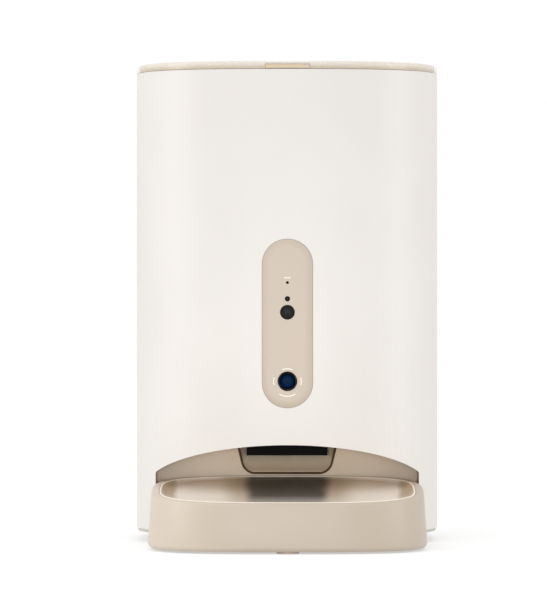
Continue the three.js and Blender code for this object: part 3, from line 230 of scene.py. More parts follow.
def between(wave, low, high):
    """Spreads the middle of a noise, 0.3 to 0.7, between two numbers."""
    values = {"Value": wave, "From Min": 0.3, "From Max": 0.7, "To Min": low, "To Max": high}
    return new_node(wave.id_data, "MapRange", values, "Result")


def blend(share, first, second):
    """A blend of two colours by a share of 0 to 1."""
    values = {"Factor": share, "A": first, "B": second}
    return new_node(share.id_data, "Mix", values, "Result", data_type="RGBA")


def mixed(wave, first, second):
    """A blend of two colours by a noise."""
    return blend(between(wave, 0.0, 1.0), first, second)


def along_axis(place, axis):
    """A place's coordinate along one axis."""
    return new_node(place.id_data, "SeparateXYZ", {"Vector": place}, axis)


def swept(place, tint, axis, start, end, color):
    """Carries a tint over to another colour along one axis, from a start to an end."""
    values = {"Value": along_axis(place, axis), "From Min": start, "From Max": end}
    share = new_node(
        place.id_data, "MapRange", values, "Result", interpolation_type="SMOOTHSTEP")
    return blend(share, tint, color)


def bump(height, strength, distance):
    """A normal that follows a height."""
    values = {"Height": height, "Strength": strength, "Distance": distance}
    return new_node(height.id_data, "Bump", values, "Normal")


def ramp_color(share, stops, interpolation="LINEAR"):
    """A colour from a ramp, whose stops are pairs of place and colour on screen."""
    node = share.id_data.nodes.new("ShaderNodeValToRGB")
    ramp = node.color_ramp
    ramp.interpolation = interpolation
    for element, (place, tone) in zip(ramp.elements, (stops[0], stops[-1])):
        element.position = place
        element.color = screen_color(*tone)
    for place, tone in stops[1:-1]:
        ramp.elements.new(place).color = screen_color(*tone)
    set_inputs(node, {"Fac": share})
    return node.outputs["Color"]


# %% [markdown]
# Three kinds of finish follow. Steel has fine lines along one axis, which spread the reflections
# across them only. Clear plastic is a thin milky cover over what lies behind it.

# %% Moulded plastic, steel and clear plastic
GRAIN_HEIGHT = 0.03 * MM


def moulded(name, color, roughness, grain=2600.0, depth=0.25, drift=0.02, coat=0.0, specular=0.5,
            sweep=None):
    """Moulded plastic: fine grain, a slow wave of gloss and a trace of colour drift."""
    material, shader, place = new_finish(name)
    broad = noise(place, 14.0, 2.0)
    tint = mixed(broad, scaled(color, 1 - drift), scaled(color, 1 + drift))
    if sweep:
        tint = swept(place, tint, *sweep)
    set_inputs(shader, {
        "Base Color": tint,
        "Roughness": between(broad, roughness - 0.04, roughness + 0.04),
        "Specular IOR Level": specular,
        "Coat Weight": coat,
        "Coat Roughness": 0.12,
        "Normal": bump(noise(place, grain, 2.0), depth, GRAIN_HEIGHT),
    })
    return material


def brushed(name, color, roughness, stretch):
    """Brushed metal, with its lines along the axis of the smallest stretch."""
    material, shader, place = new_finish(name)
    lines = lines_of(place, stretch, 3.0)
    set_inputs(shader, {
        "Base Color": mixed(lines, scaled(color, 0.94), scaled(color, 1.04)),
        "Roughness": between(lines, roughness - 0.05, roughness + 0.06),
        "Metallic": 1.0,
        "Anisotropic": 0.55,
        "Normal": bump(lines, 0.12, 0.02 * MM),
    })
    return material


def see_through(name, color, roughness, cover, sweep):
    """Clear plastic: a thin milky cover that lets the rest of the light straight through."""
    material, shader, place = new_finish(name)
    wave = noise(place, 60.0, 1.0)
    set_inputs(shader, {
        "Base Color": swept(place, mixed(wave, scaled(color, 0.99), color), *sweep),
        "Roughness": between(wave, roughness, roughness + 0.05),
        "Alpha": between(wave, cover - 0.02, cover + 0.02),
    })
    return material


# %% [markdown]
# A table lists each plastic's colour on screen, its roughness and what sets it apart. Three
# finishes change along one axis: the clear lid turns darker and warmer at its lower edge, the
# tray carries painted shade, darker from near its middle to its right end, and the ramp carries
# painted shade, darker towards its low front end.

# %% Finishes
panel_low, panel_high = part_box("lid_panel")
rim_sweep = ("Z", panel_low.z + 3.4 * MM, panel_low.z + 0.6 * MM, screen_color(216, 203, 184))
# Painted shade: the tray turns darker from near its middle to its right end.
tray_painted_shade = ("X", -95 * MM, -12 * MM, screen_color(176, 163, 147))
# Painted shade: the ramp turns darker towards its low front end.
ramp_painted_shade = (
    "Y", tower_middle.y - 23 * MM, tower_middle.y - 30 * MM, screen_color(226, 204, 178))
MOULDINGS = {
    "body_white": ((211, 207, 202), 0.42, {}),
    "base_grey": ((186, 182, 172), 0.6, {"grain": 1500, "depth": 0.5}),
    # Painted light: the recess and the chute take lighter copies of the beige plastic, against the
    # shade under the arch.
    "recess_beige": ((221, 198, 164), 0.34, {"coat": 0.1}),
    "chute_cream_painted_light": ((255, 241, 215), 0.36, {"sweep": ramp_painted_shade}),
    "tray_beige": ((195, 182, 166), 0.4, {"sweep": tray_painted_shade}),
    "plate_beige": ((183, 169, 153), 0.38, {}),
    "lid_beige": ((220, 207, 189), 0.42, {}),
    "latch_tan": ((198, 180, 152), 0.36, {"drift": 0.06}),
    "mark_cream": ((236, 224, 204), 0.5, {}),
    # Painted shade: a dark strip in the gap round the chute's mouth.
    "gap_painted_shade": ((92, 75, 55), 0.6, {"specular": 0.1}),
    "inner_grey": ((200, 196, 188), 0.55, {}),
    "hopper_smoke": ((214, 206, 194), 0.4, {}),
    "rotor_beige": ((218, 206, 188), 0.5, {}),
    "desiccant_white": ((238, 236, 230), 0.5, {}),
    "button_grey": ((190, 186, 178), 0.45, {}),
    "black_plastic": ((8, 7, 6), 0.5, {"grain": 1800, "depth": 0.4, "specular": 0.08}),
    "black_gloss": ((10, 10, 13), 0.3, {"depth": 0.05, "specular": 0.15}),
    "gear_nylon": ((236, 234, 224), 0.5, {}),
    "silicone": ((226, 224, 218), 0.62, {}),
    "foot_rubber": ((92, 89, 85), 0.85, {"grain": 900, "depth": 0.8}),
    "board_green": ((38, 92, 56), 0.4, {"coat": 0.4}),
    "smoke_window": ((26, 25, 25), 0.3, {"depth": 0.03, "specular": 0.08}),
    # Painted highlight: the bowl's bead is a pale plain tone, not metal.
    "bead_painted_highlight": ((238, 229, 216), 0.3, {}),
}
METALS = {
    "battery_can": ((190, 150, 84), 0.3, (5.0, 900.0, 900.0)),
    "brass": ((206, 176, 104), 0.3, (5.0, 900.0, 900.0)),
    "steel": ((205, 203, 200), 0.28, (400.0, 400.0, 20.0)),
    "motor_steel": ((176, 175, 172), 0.36, (300.0, 300.0, 20.0)),
}
finishes = {}
for name, (tone, roughness, extras) in MOULDINGS.items():
    finishes[name] = moulded(name, screen_color(*tone), roughness, **extras)
for name, (tone, roughness, stretch) in METALS.items():
    finishes[name] = brushed(name, screen_color(*tone), roughness, stretch)
finishes["lid_clear"] = see_through(
    "lid_clear", screen_color(236, 234, 226), roughness=0.1, cover=0.45, sweep=rim_sweep)
print("made", len(finishes), "finishes")

# %% [markdown]
# The bowl is brushed from side to side, and its reflections are painted into its colour. Its
# middle, below the chute, is a soft dark patch, a painted reflection of the dark chute; the sides
# are painted bright, and the ends that rise to the rim are painted warmer and darker. A colour
# ramp on the distance from the middle gives all three. A slow noise softens the patch's edge, and
# painted light makes the patch paler towards the front.

# %% Brushed bowl finish
BOWL_REACH = 82
# Painted reflections along the distance from the middle: a dark patch, bright sides, warmer and
# darker ends.
BOWL_REFLECTION_STOPS = (
    (0.28, (96, 91, 86)),
    (0.385, (214, 199, 180)),
    (0.6, (252, 245, 236)),
    (0.87, (252, 246, 238)),
    (0.93, (204, 186, 164)),
    (1.0, (198, 178, 154)),
)


def math_node(operation, *terms):
    """The result of an operation, whose first term is another node's output."""
    return new_node(
        terms[0].id_data, "Math", dict(enumerate(terms)), "Value", operation=operation)


def painted_reflection_steel(name, reach):
    """Brushed steel with painted reflections, whose tone goes by the distance from the middle."""
    material, shader, place = new_finish(name)
    wave = math_node("MULTIPLY_ADD", noise(place, 30.0, 2.0), 7 * MM, -3.5 * MM)
    distance = math_node("ABSOLUTE", along_axis(place, "X"))
    moved = math_node("ADD", distance, wave)
    fade = math_node("MULTIPLY_ADD", along_axis(place, "Y"), -0.03, moved)
    share = new_node(fade.id_data, "MapRange", {"Value": fade, "From Max": reach}, "Result")
    # Painted reflection: the tone that the distance from the middle picks.
    tone = ramp_color(share, BOWL_REFLECTION_STOPS, "EASE")
    # Painted light: towards the front the tone is blended halfway to a pale colour.
    values = {"Value": along_axis(place, "Y"), "From Min": -55 * MM, "From Max": -77 * MM}
    front = new_node(place.id_data, "MapRange", {**values, "To Max": 0.5}, "Result")
    lines = lines_of(place, (6.0, 1500.0, 1500.0), 2.0)
    set_inputs(shader, {
        "Base Color": blend(front, tone, screen_color(244, 238, 228)),
        "Roughness": between(lines, 0.36, 0.46),
        "Metallic": 0.42,
        "Normal": bump(lines, 0.3, GRAIN_HEIGHT),
    })
    return material


finishes["bowl_steel"] = painted_reflection_steel("bowl_steel", BOWL_REACH * MM)
print("bowl finish reaches", BOWL_REACH, "mm from the middle")

# %% [markdown]
# The camera's lens is a dark well with a coated glass on top. The coating throws back a deep
# blue, more of it towards the rim, which a radial gradient round the lens axis gives.

# %% Coated lens finish
COATING_REACH = 5.4
COATING_REFLECTION_STOPS = (
    (0.0, (5, 7, 14)), (0.3, (2, 26, 56)), (0.6, (0, 38, 72)), (1.0, (4, 10, 26)))
lens_low, lens_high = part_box("lens_barrel")
lens_middle = (lens_low + lens_high) / 2


def coated_lens(name, reach):
    """Coated glass with a painted deep blue reflection: dark middle and edge, bluer between."""
    material, shader, place = new_finish(name)
    tree = place.id_data
    centred = new_node(tree, "Mapping", {
        "Vector": place,
        "Location": (0, 0, -lens_middle.z / reach),
        "Scale": (1 / reach, 0, 1 / reach)}, "Vector")
    gradient = new_node(
        tree, "TexGradient", {"Vector": centred}, "Fac", gradient_type="SPHERICAL")
    set_inputs(shader, {
        "Base Color": ramp_color(gradient, COATING_REFLECTION_STOPS),
        "Roughness": 0.25,
        "Specular IOR Level": 0.03,
    })
    return material


finishes["lens_glass"] = coated_lens("lens_glass", COATING_REACH * MM)
print("lens finish centred at height", round(lens_middle.z, 4))

# %% [markdown]
# ## Shapes
# The tower, its lid, the tray and the bowl share one kind of outline, between a circle and a box.
# A circle is made first and each of its corners is moved out to that outline. Rings of the same
# count are then bridged one by one into walls, which keeps the faces in straight columns.

# %% Helpers for shapes
AXIS_Y = tower_middle.y
BODY_ROUNDNESS = 2.9
TRAY_ROUNDNESS = 3.2
BODY_HALF = (shell_high.x - shell_low.x) / 2
RING = 144


def at_y(millimetres):
    """A place along Y, counted from the tower's own axis."""
    return AXIS_Y + millimetres * MM


def edges_of(ring):
    """The edges of a ring, each once and in order, so that every run gives the same mesh."""
    return list(dict.fromkeys(edge for vert in ring for edge in vert.link_edges))


def squircle(mesh, half_width, half_depth, roundness, middle_y, height, slope=0.0, rear=None):
    """A rounded square ring, level or on a slope, with squarer rear corners if wished."""
    ring = bmesh.ops.create_circle(mesh, radius=1.0, segments=RING)["verts"]
    for vert in ring:
        across, along = vert.co.x, vert.co.y
        power = rear if rear and along > 0 else roundness
        size = (abs(across) ** power / half_width ** power
                + abs(along) ** power / half_depth ** power)
        reach = size ** (-1 / power)
        vert.co = (across * reach, middle_y + along * reach, height + slope * along * reach)
    return edges_of(ring)


def body_ring(mesh, inset, height):
    """The tower's outline, moved in by an inset."""
    return squircle(mesh, BODY_HALF - inset, BODY_HALF - inset, BODY_ROUNDNESS, AXIS_Y, height)


def bridged_pairs(mesh, rings):
    """Walls between rings in order."""
    for lower, upper in zip(rings, rings[1:]):
        bmesh.ops.bridge_loops(mesh, edges=lower + upper)


def bridged(mesh, rings):
    """Walls between rings in order, with both ends filled."""
    bridged_pairs(mesh, rings)
    bmesh.ops.edgeloop_fill(mesh, edges=rings[0])
    bmesh.ops.edgeloop_fill(mesh, edges=rings[-1])
    return mesh


def body_slab(inset, low, high):
    """A slab with the tower's outline, moved in by millimetres."""
    mesh = bmesh.new()
    return bridged(mesh, [body_ring(mesh, inset * MM, low), body_ring(mesh, inset * MM, high)])


def box_mesh(low, high):
    """A box between two corners."""
    mesh = bmesh.new()
    size = Vector(high) - Vector(low)
    matrix = Matrix.Translation((Vector(low) + Vector(high)) / 2) @ Matrix.Diagonal((*size, 1))
    bmesh.ops.create_cube(mesh, size=1.0, matrix=matrix)
    return mesh


def block(half, front, back, low, high):
    """A box in the middle: half its width, front and back in millimetres, and two heights."""
    return box_mesh((-half * MM, at_y(front), low), (half * MM, at_y(back), high))


def rod_mesh(radius, start, end, count=64):
    """A round rod between two points, with its radius in millimetres."""
    mesh = bmesh.new()
    start, end = Vector(start), Vector(end)
    turn = (end - start).to_track_quat("Z", "Y").to_matrix().to_4x4()
    matrix = Matrix.Translation((start + end) / 2) @ turn
    bmesh.ops.create_cone(mesh, cap_ends=True, segments=count, radius1=radius * MM,
                          radius2=radius * MM, depth=(end - start).length, matrix=matrix)
    return mesh


def rod_across(radius, left, right, y, z, count=24):
    """A rod from left to right."""
    return rod_mesh(radius, (left, y, z), (right, y, z), count)


def rod_inward(radius, front, back, height, count=64):
    """A rod from front to back in the middle of the tower."""
    return rod_mesh(radius, (0, front, height), (0, back, height), count)


def rod_upright(radius, place, low, high, count):
    """A rod from below to above."""
    return rod_mesh(radius, (place[0], place[1], low), (place[0], place[1], high), count)


def sliced(mesh, point, normal):
    """Removes what lies on the side that the normal points to, and closes the cut."""
    everything = mesh.verts[:] + mesh.edges[:] + mesh.faces[:]
    found = bmesh.ops.bisect_plane(
        mesh, geom=everything, plane_co=point, plane_no=normal, clear_outer=True)
    edges = [item for item in found["geom_cut"] if isinstance(item, bmesh.types.BMEdge)]
    bmesh.ops.contextual_create(mesh, geom=edges)
    return mesh


def rounded_edges(mesh, chosen, radius, segments=6):
    """Rounds the edges that a test picks."""
    edges = [edge for edge in mesh.edges if chosen(edge)]
    bmesh.ops.bevel(mesh, geom=edges, offset=radius, offset_type="OFFSET", segments=segments,
                    profile=0.5, affect="EDGES", material=-1, clamp_overlap=True)
    return mesh


def runs_along(axis):
    """A test for edges that run along one axis."""
    def test(edge):
        step = (edge.verts[1].co - edge.verts[0].co).normalized()
        return abs(step[axis]) > 0.999
    return test


def on_the_floor(edge):
    """A test for edges at the foot of a piece that stands on the floor."""
    return edge.verts[0].co.z + edge.verts[1].co.z < 2 * MM


# %% [markdown]
# A solid becomes an object, other solids are cut out of it or added to it, and then it is
# dressed: its normals are recalculated, its hard edges get a small radius as every moulding has,
# and it takes the place of its CAD nodes. A piece with no CAD node of its own only takes a finish
# and rides along.

# %% Helpers for pieces
def solid(name, mesh):
    """An object from a mesh that is still in hand."""
    bmesh.ops.remove_doubles(mesh, verts=mesh.verts[:], dist=0.002 * MM)
    bmesh.ops.recalc_face_normals(mesh, faces=mesh.faces[:])
    data = bpy.data.meshes.new(name)
    mesh.to_mesh(data)
    mesh.free()
    return new_object(name, data)


def mesh_of(piece):
    """Takes a piece's mesh back in hand and drops the object."""
    mesh = bmesh.new()
    mesh.from_mesh(piece.data)
    bpy.data.objects.remove(piece)
    return mesh


def combined(piece, mesh, operation):
    """Cuts a solid out of a piece, adds it, or keeps what they share."""
    tool = solid("tool", mesh)
    step = piece.modifiers.new("combine", "BOOLEAN")
    step.operation = operation
    step.solver = "EXACT"
    step.object = tool
    bpy.context.view_layer.update()
    found = piece.evaluated_get(bpy.context.evaluated_depsgraph_get())
    shaped = bpy.data.meshes.new_from_object(found)
    piece.modifiers.clear()
    spent = [piece.data, tool.data]
    piece.data = shaped
    bpy.data.objects.remove(tool)
    for data in spent:
        bpy.data.meshes.remove(data)
    return piece


def cut(piece, mesh):
    """Cuts a solid out of a piece."""
    return combined(piece, mesh, "DIFFERENCE")


def add(piece, mesh):
    """Adds a solid to a piece."""
    return combined(piece, mesh, "UNION")


def finished(piece, finish):
    """Gives a piece its finish."""
    piece.data.materials.clear()
    piece.data.materials.append(finishes[finish])
    print("made", piece.name, "with", len(piece.data.polygons), "faces")


def dressed(piece, finish, body, *nodes, edge=0.35, sharp=32, slot=None):
    """Rounds the hard edges, gives the finish and stands in for CAD nodes."""
    piece.name = "finished_" + nodes[0]
    piece.data.shade_smooth()
    piece.data.set_sharp_from_angle(angle=radians(sharp))
    if edge > 0:
        bevel = piece.modifiers.new("edge_radius", "BEVEL")
        bevel.width = edge * MM
        bevel.segments = 3
        bevel.limit_method = "ANGLE"
        bevel.angle_limit = radians(sharp)
        bevel.harden_normals = True
        bevel.use_clamp_overlap = True
    finished(piece, finish)
    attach(piece, body)
    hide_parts(*nodes)


# %% [markdown]
# ## Tower shell
# A rounded slab with a smaller one cut out of it gives a sleeve. Two ledges stand out on its
# inside, the lower one with a gap for the camera. The arch at its foot is a wide flat ellipse
# whose ends drop straight down, and the camera's plate sits in a pill-shaped hole.

# %% Tower shell
SHELL_WALL = 2.5
RECESS_BACK = -30
# Where cuts start: in front of the tower, and for the arch below the floor too.
IN_FRONT = -110
ARCH_START = (-20 * MM, -120)
LEDGE_INSETS = (1.2, 6)
CAMERA_GAP = 20.45
# Radius and height of the holes for the power socket and the pairing button.
REAR_HOLES = ((5.5, 58), (4.3, 74))
ARCH_HALF = 86 * MM
ARCH_ELLIPSE_HALF = 92 * MM
ARCH_RISE = 28.8 * MM
ARCH_MIDDLE = 36.7 * MM
ARCH_CORNERS = 200
PILL_HALF = 16.45
PILL_BOTTOM = 89.5
PILL_TOP = 198.8
PILL_CORNERS = 96


def arch_mesh(grow, bottom, front, back):
    """A prism with the arch's outline: ellipse above, straight sides below."""
    mesh = bmesh.new()
    ring = bmesh.ops.create_circle(mesh, cap_ends=True, radius=1.0, segments=ARCH_CORNERS)["verts"]
    side = ARCH_HALF + grow * MM
    for vert in ring:
        across = (ARCH_ELLIPSE_HALF + grow * MM) * vert.co.x
        rise = ARCH_MIDDLE + (ARCH_RISE + grow * MM) * vert.co.y
        height = rise if vert.co.y > -0.001 else bottom
        vert.co = (max(-side, min(side, across)), at_y(front), height)
    extruded = bmesh.ops.extrude_face_region(mesh, geom=mesh.faces[:])["geom"]
    moved = [item for item in extruded if isinstance(item, bmesh.types.BMVert)]
    bmesh.ops.translate(mesh, verts=moved, vec=(0, (back - front) * MM, 0))
    bmesh.ops.dissolve_limit(
        mesh, angle_limit=radians(0.05), verts=mesh.verts[:], edges=mesh.edges[:])
    return mesh


def pill_ring(mesh, grow, front):
    """A pill-shaped ring in the front, on the curve of the shell moved in by a depth."""
    half_step = Matrix.Rotation(pi / PILL_CORNERS, 4, "Z")
    ring = bmesh.ops.create_circle(
        mesh, radius=(PILL_HALF + grow) * MM, segments=PILL_CORNERS, matrix=half_step)["verts"]
    middle = (PILL_TOP + PILL_BOTTOM) / 2
    straight = (PILL_TOP - PILL_BOTTOM) / 2 - PILL_HALF
    for vert in ring:
        across, up = vert.co.x, vert.co.y
        sideways = (abs(across) / BODY_HALF) ** BODY_ROUNDNESS
        curve = BODY_HALF * (1 - (1 - sideways) ** (1 / BODY_ROUNDNESS))
        height = middle * MM + up + copysign(straight * MM, up)
        vert.co = (across, at_y(-100) + front * MM + curve, height)
    return edges_of(ring)


def sleeve(name, outer, inner, low, high):
    """A sleeve of the tower's outline between two insets."""
    core = body_slab(inner, low - 1 * MM, high + 1 * MM)
    return cut(solid(name, body_slab(outer, low, high)), core)


tower_shell = sleeve("tower_shell", 0, SHELL_WALL, shell_low.z, shell_high.z)
add(tower_shell, mesh_of(sleeve("upper_ledge", *LEDGE_INSETS, 298 * MM, 300 * MM)))
lower_ledge = sleeve("lower_ledge", *LEDGE_INSETS, 96 * MM, 98 * MM)
cut(lower_ledge, block(CAMERA_GAP, IN_FRONT, -81, 80 * MM, 110 * MM))
add(tower_shell, mesh_of(lower_ledge))
cut(tower_shell, arch_mesh(0, *ARCH_START, RECESS_BACK))
mesh = bmesh.new()
cut(tower_shell, bridged(mesh, [pill_ring(mesh, 0.1, -5), pill_ring(mesh, 0.1, 8)]))
for radius, height in REAR_HOLES:
    cut(tower_shell, rod_inward(radius, at_y(90), at_y(110), height * MM))
dressed(tower_shell, "body_white", "tower", "body_shell", edge=0.45)

# %% [markdown]
# Inside the arch sits the recess housing: the same outline pushed back towards the chute, with a
# wall of its own, trimmed to the inside of the tower. The chute's mouth is cut through its back.

# %% Recess housing
RECESS_WALL = 2
MOUTH_HALF = 33
MOUTH_BOTTOM = 44
MOUTH_TOP = 66.5
MOUTH_RADIUS = 7
MOUTH_LEAN = 0.25
LEAN_FROM = 62


def mouth_mesh(inset, front, back, bottom=MOUTH_BOTTOM, top=MOUTH_TOP, radius=MOUTH_RADIUS,
               lean=MOUTH_LEAN):
    """A block with the mouth's outline: sides that lean in a little, rounded corners below."""
    mesh = block(MOUTH_HALF - inset, front, back, bottom * MM, top * MM)
    middle = (bottom + top) / 2 * MM
    along = runs_along(1)
    rounded_edges(mesh, lambda edge: along(edge) and edge.verts[0].co.z < middle, radius * MM, 14)
    for vert in mesh.verts:
        vert.co.x -= lean * (LEAN_FROM * MM - vert.co.z) * copysign(1, vert.co.x)
    return mesh


base_low, base_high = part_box("base_plate")
base_top = shell_low.z
outline = arch_mesh(RECESS_WALL, base_top, -98.5, RECESS_BACK + RECESS_WALL)
recess = solid("recess_housing", outline)
cut(recess, arch_mesh(0, *ARCH_START, RECESS_BACK))
combined(recess, body_slab(2.8, base_top - 1 * MM, 98 * MM), "INTERSECT")
cut(recess, mouth_mesh(0, RECESS_BACK - 1, -17.5, top=MOUTH_TOP - 0.3))
dressed(recess, "recess_beige", "tower", "recess_housing", edge=0.3)

# %% [markdown]
# The chute has a rounded bezel, a ramp, two side walls that close in, and a shaft that goes up to
# the rotor. Its hollow is a block sliced by the plane of the ramp and by the planes of the side
# walls.

# %% Chute
chute_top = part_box("chute")[1].z
RAMP_SLOPE = 0.82
RAMP_START = 45.8
MOUTH_INNER = 31
THROAT_HALF = 27.2
THROAT_FRONT = -17.5
SHAFT_REAR = 6.8
CHUTE_WALL = 2
# Blocks start well below the ramp, whose plane cuts them off.
CHUTE_FOOT = 40 * MM
PIN_HEIGHT = 79.5 * MM
PIN_BORE = 1.5
PIN_REACH = 33 * MM


def ramp_sliced(mesh, drop=0.0):
    """Cuts away what lies below the ramp's plane."""
    point = (0, at_y(RECESS_BACK), (RAMP_START - drop) * MM)
    return sliced(mesh, point, Vector((0, RAMP_SLOPE, -1)))


def sides_sliced(mesh, half_front, front, half_back):
    """Cuts both sides along planes that close in towards the throat."""
    for side in (-1, 1):
        lean = (half_front - half_back) / (THROAT_FRONT - front)
        sliced(mesh, (side * half_front * MM, at_y(front), 0), Vector((side, lean, 0)))
    return mesh


under = CHUTE_WALL * hypot(1, RAMP_SLOPE)
entry_half = 32
shaft_half = THROAT_HALF + CHUTE_WALL
hollow_front = RECESS_BACK - 1
bezel_back = RECESS_BACK + RECESS_WALL + 0.3
bezel = mouth_mesh(1, RECESS_BACK + 0.3, bezel_back + 1, MOUTH_BOTTOM + 1, MOUTH_TOP - 1, radius=6)
chute = solid("chute", bezel)
entry = ramp_sliced(block(entry_half, bezel_back, THROAT_FRONT, CHUTE_FOOT, 84.5 * MM), under)
add(chute, sides_sliced(entry, entry_half, bezel_back, shaft_half))
shaft = block(shaft_half, THROAT_FRONT - 2, SHAFT_REAR + CHUTE_WALL, CHUTE_FOOT, chute_top)
add(chute, ramp_sliced(shaft, under))
hollow = ramp_sliced(block(MOUTH_INNER, hollow_front, -17, CHUTE_FOOT, 82.5 * MM))
cut(chute, sides_sliced(hollow, MOUTH_INNER, hollow_front, THROAT_HALF))
cut(chute, ramp_sliced(block(THROAT_HALF, THROAT_FRONT, SHAFT_REAR, CHUTE_FOOT, 110 * MM)))
open_top = block(MOUTH_INNER, hollow_front, -20.5, 60 * MM, 90 * MM)
cut(chute, sides_sliced(open_top, MOUTH_INNER, hollow_front, THROAT_HALF))
cut(chute, rod_across(PIN_BORE, -PIN_REACH, PIN_REACH, at_y(-18.9), PIN_HEIGHT))
dressed(chute, "chute_cream_painted_light", "tower", "chute", edge=0.3, slot="recess_beige")

# %% [markdown]
# A dark strip runs round the mouth, between the bezel and the hole in the housing: painted shade
# in the gap there.

# %% Painted shade round the mouth
gap_shade_block = mouth_mesh(
    0.05, RECESS_BACK + 0.25, RECESS_BACK + 1.8, top=MOUTH_TOP - 0.4, radius=6.9)
gap_shade_hole = mouth_mesh(
    1.9, RECESS_BACK - 1, RECESS_BACK + 4, MOUTH_BOTTOM + 1.6, MOUTH_TOP + 3, radius=6, lean=0.2)
gap_shade_strip = solid("mouth_gap_painted_shade", gap_shade_block)
cut(gap_shade_strip, gap_shade_hole)
gap_shade_strip.data.shade_smooth()
gap_shade_strip.data.set_sharp_from_angle(angle=radians(32))
finished(gap_shade_strip, "gap_painted_shade")
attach(gap_shade_strip, "tower")

# %% [markdown]
# A black flap hangs from a pin across the shaft. It keeps the food dry and swings up as food
# falls.

# %% Outlet flap
flap_low, flap_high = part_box("outlet_flap")
flap_axis = (flap_low.y + flap_high.y) / 2
half_leaf = 0.7 * MM
leaf = box_mesh((flap_low.x, flap_axis - half_leaf, flap_low.z),
                (flap_high.x, flap_axis + half_leaf, PIN_HEIGHT))
flap = solid("outlet_flap", leaf)
add(flap, rod_across(2.2, flap_low.x, flap_high.x, flap_axis, PIN_HEIGHT, 32))
cut(flap, rod_across(PIN_BORE, -PIN_REACH, PIN_REACH, flap_axis, PIN_HEIGHT))
dressed(flap, "black_plastic", "flap", "outlet_flap", edge=0.25)

# %% [markdown]
# ## Base, feet and battery door
# The base plate closes the sleeve. A low lip on it locates the shell, bosses and the battery
# opening are cut through, and the feet are soft pads with a rounded tread. Each base screw has a
# cross slot, and the battery door has four grooves for the thumb.

# %% Base plate, feet, screws and battery door
BOSS_HOLE = 6
SCREW_HOLE = 1.6
HOLE_TOP = 0.02
DOOR_GAP = 0.4 * MM
DOOR_TRAVEL = 6 * MM
FOOT_RADIUS = 7
SCREW_HEAD, SCREW_HEAD_HEIGHT = 3, 1.7 * MM
SCREW_SHANK = 1.3
SLOT_HALF = (1.6 * MM, 0.25 * MM, 0.8 * MM)
GROOVE_STEP = 3.2 * MM
GROOVE_WIDTH = 1.6 * MM
GROOVE_HALF = 16 * MM

base = solid("base_plate", body_slab(0.9, base_low.z, base_top))
lip = sleeve("lip", 2.8, 4.4, base_top - 0.5 * MM, base_high.z)
cut(lip, block(110, IN_FRONT, -27, 0, 30 * MM))
add(base, mesh_of(lip))
screw_boxes = [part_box(f"base_screw_{number}") for number in range(1, 5)]
for low, high in screw_boxes:
    middle = (low + high) / 2
    cut(base, rod_upright(BOSS_HOLE, middle, base_top, HOLE_TOP, 32))
    cut(base, rod_upright(SCREW_HOLE, middle, 0, HOLE_TOP, 32))
door_low, door_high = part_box("battery_door")
opening_low = door_low - Vector((DOOR_GAP, DOOR_GAP, 1 * MM))
opening_high = door_high + Vector((DOOR_GAP, DOOR_GAP + DOOR_TRAVEL, 2 * MM))
cut(base, box_mesh(opening_low, opening_high))
dressed(base, "base_grey", "tower", "base_plate", edge=0.3)

for place in ("front_left", "front_right", "rear_left", "rear_right"):
    low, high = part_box(f"foot_{place}")
    middle = (low + high) / 2
    mesh = rod_upright(FOOT_RADIUS, middle, low.z, high.z, 48)
    foot = solid(f"foot_{place}_pad", rounded_edges(mesh, on_the_floor, 0.9 * MM, 5))
    dressed(foot, "foot_rubber", "tower", f"foot_{place}", edge=0)

for number, (low, high) in enumerate(screw_boxes, start=1):
    middle = (low + high) / 2
    head = rod_upright(SCREW_HEAD, middle, low.z, low.z + SCREW_HEAD_HEIGHT, 40)
    screw = solid(f"base_screw_{number}_head", head)
    add(screw, rod_upright(SCREW_SHANK, middle, low.z + 1 * MM, high.z, 24))
    for turn in (0, pi / 2):
        slot_size = Vector(SLOT_HALF)
        slot_mesh = box_mesh(-slot_size, slot_size)
        bmesh.ops.transform(slot_mesh, verts=slot_mesh.verts[:], matrix=(
            Matrix.Translation((middle.x, middle.y, low.z)) @ Matrix.Rotation(turn, 4, "Z")))
        cut(screw, slot_mesh)
    dressed(screw, "steel", "tower", f"base_screw_{number}", edge=0.15)

door = solid("battery_door", box_mesh(door_low, door_high))
for groove in range(4):
    front = door_high.y - GROOVE_HALF + groove * GROOVE_STEP
    cut(door, box_mesh((-GROOVE_HALF, front, 0),
                       (GROOVE_HALF, front + GROOVE_WIDTH, door_low.z + 0.8 * MM)))
dressed(door, "base_grey", "door", "battery_door", edge=0.3)

# %% [markdown]
# ## Camera plate
# Pill-shaped rings shrink towards the middle, each on the curve of the shell, so the plate lies
# flush. A flange behind the shell keeps it in. Round holes take the lens, the windows and the
# microphone.

# %% Camera plate
LENS_HEIGHT = lens_middle.z
infrared_low, infrared_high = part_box("infrared_window")
sensor_low, sensor_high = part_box("light_sensor")
microphone_low, microphone_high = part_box("microphone")
INFRARED_HEIGHT = (infrared_low.z + infrared_high.z) / 2
SENSOR_HEIGHT = (sensor_low.z + sensor_high.z) / 2
MICROPHONE_HEIGHT = (microphone_low.z + microphone_high.z) / 2
front_y = at_y(-100)
# Rings as pairs: how far the pill grows, and how far the ring lies behind the front.
PLATE_FRONT = ((-2.5, 4.6), (3, 4.6), (3, 2.8), (0, 2.8), (0, 0.35), (-0.1, 0.1), (-0.35, 0),
               (-5, 0), (-10, 0), (-15.9, 0))
PLATE_BACK = ((-2.5, 2.5), (-10, 2.5), (-15.9, 2.5))
# Holes as pairs: radius and height.
PLATE_HOLES = ((6.4, LENS_HEIGHT), (4.8, INFRARED_HEIGHT), (1.75, SENSOR_HEIGHT),
               (0.95, MICROPHONE_HEIGHT))

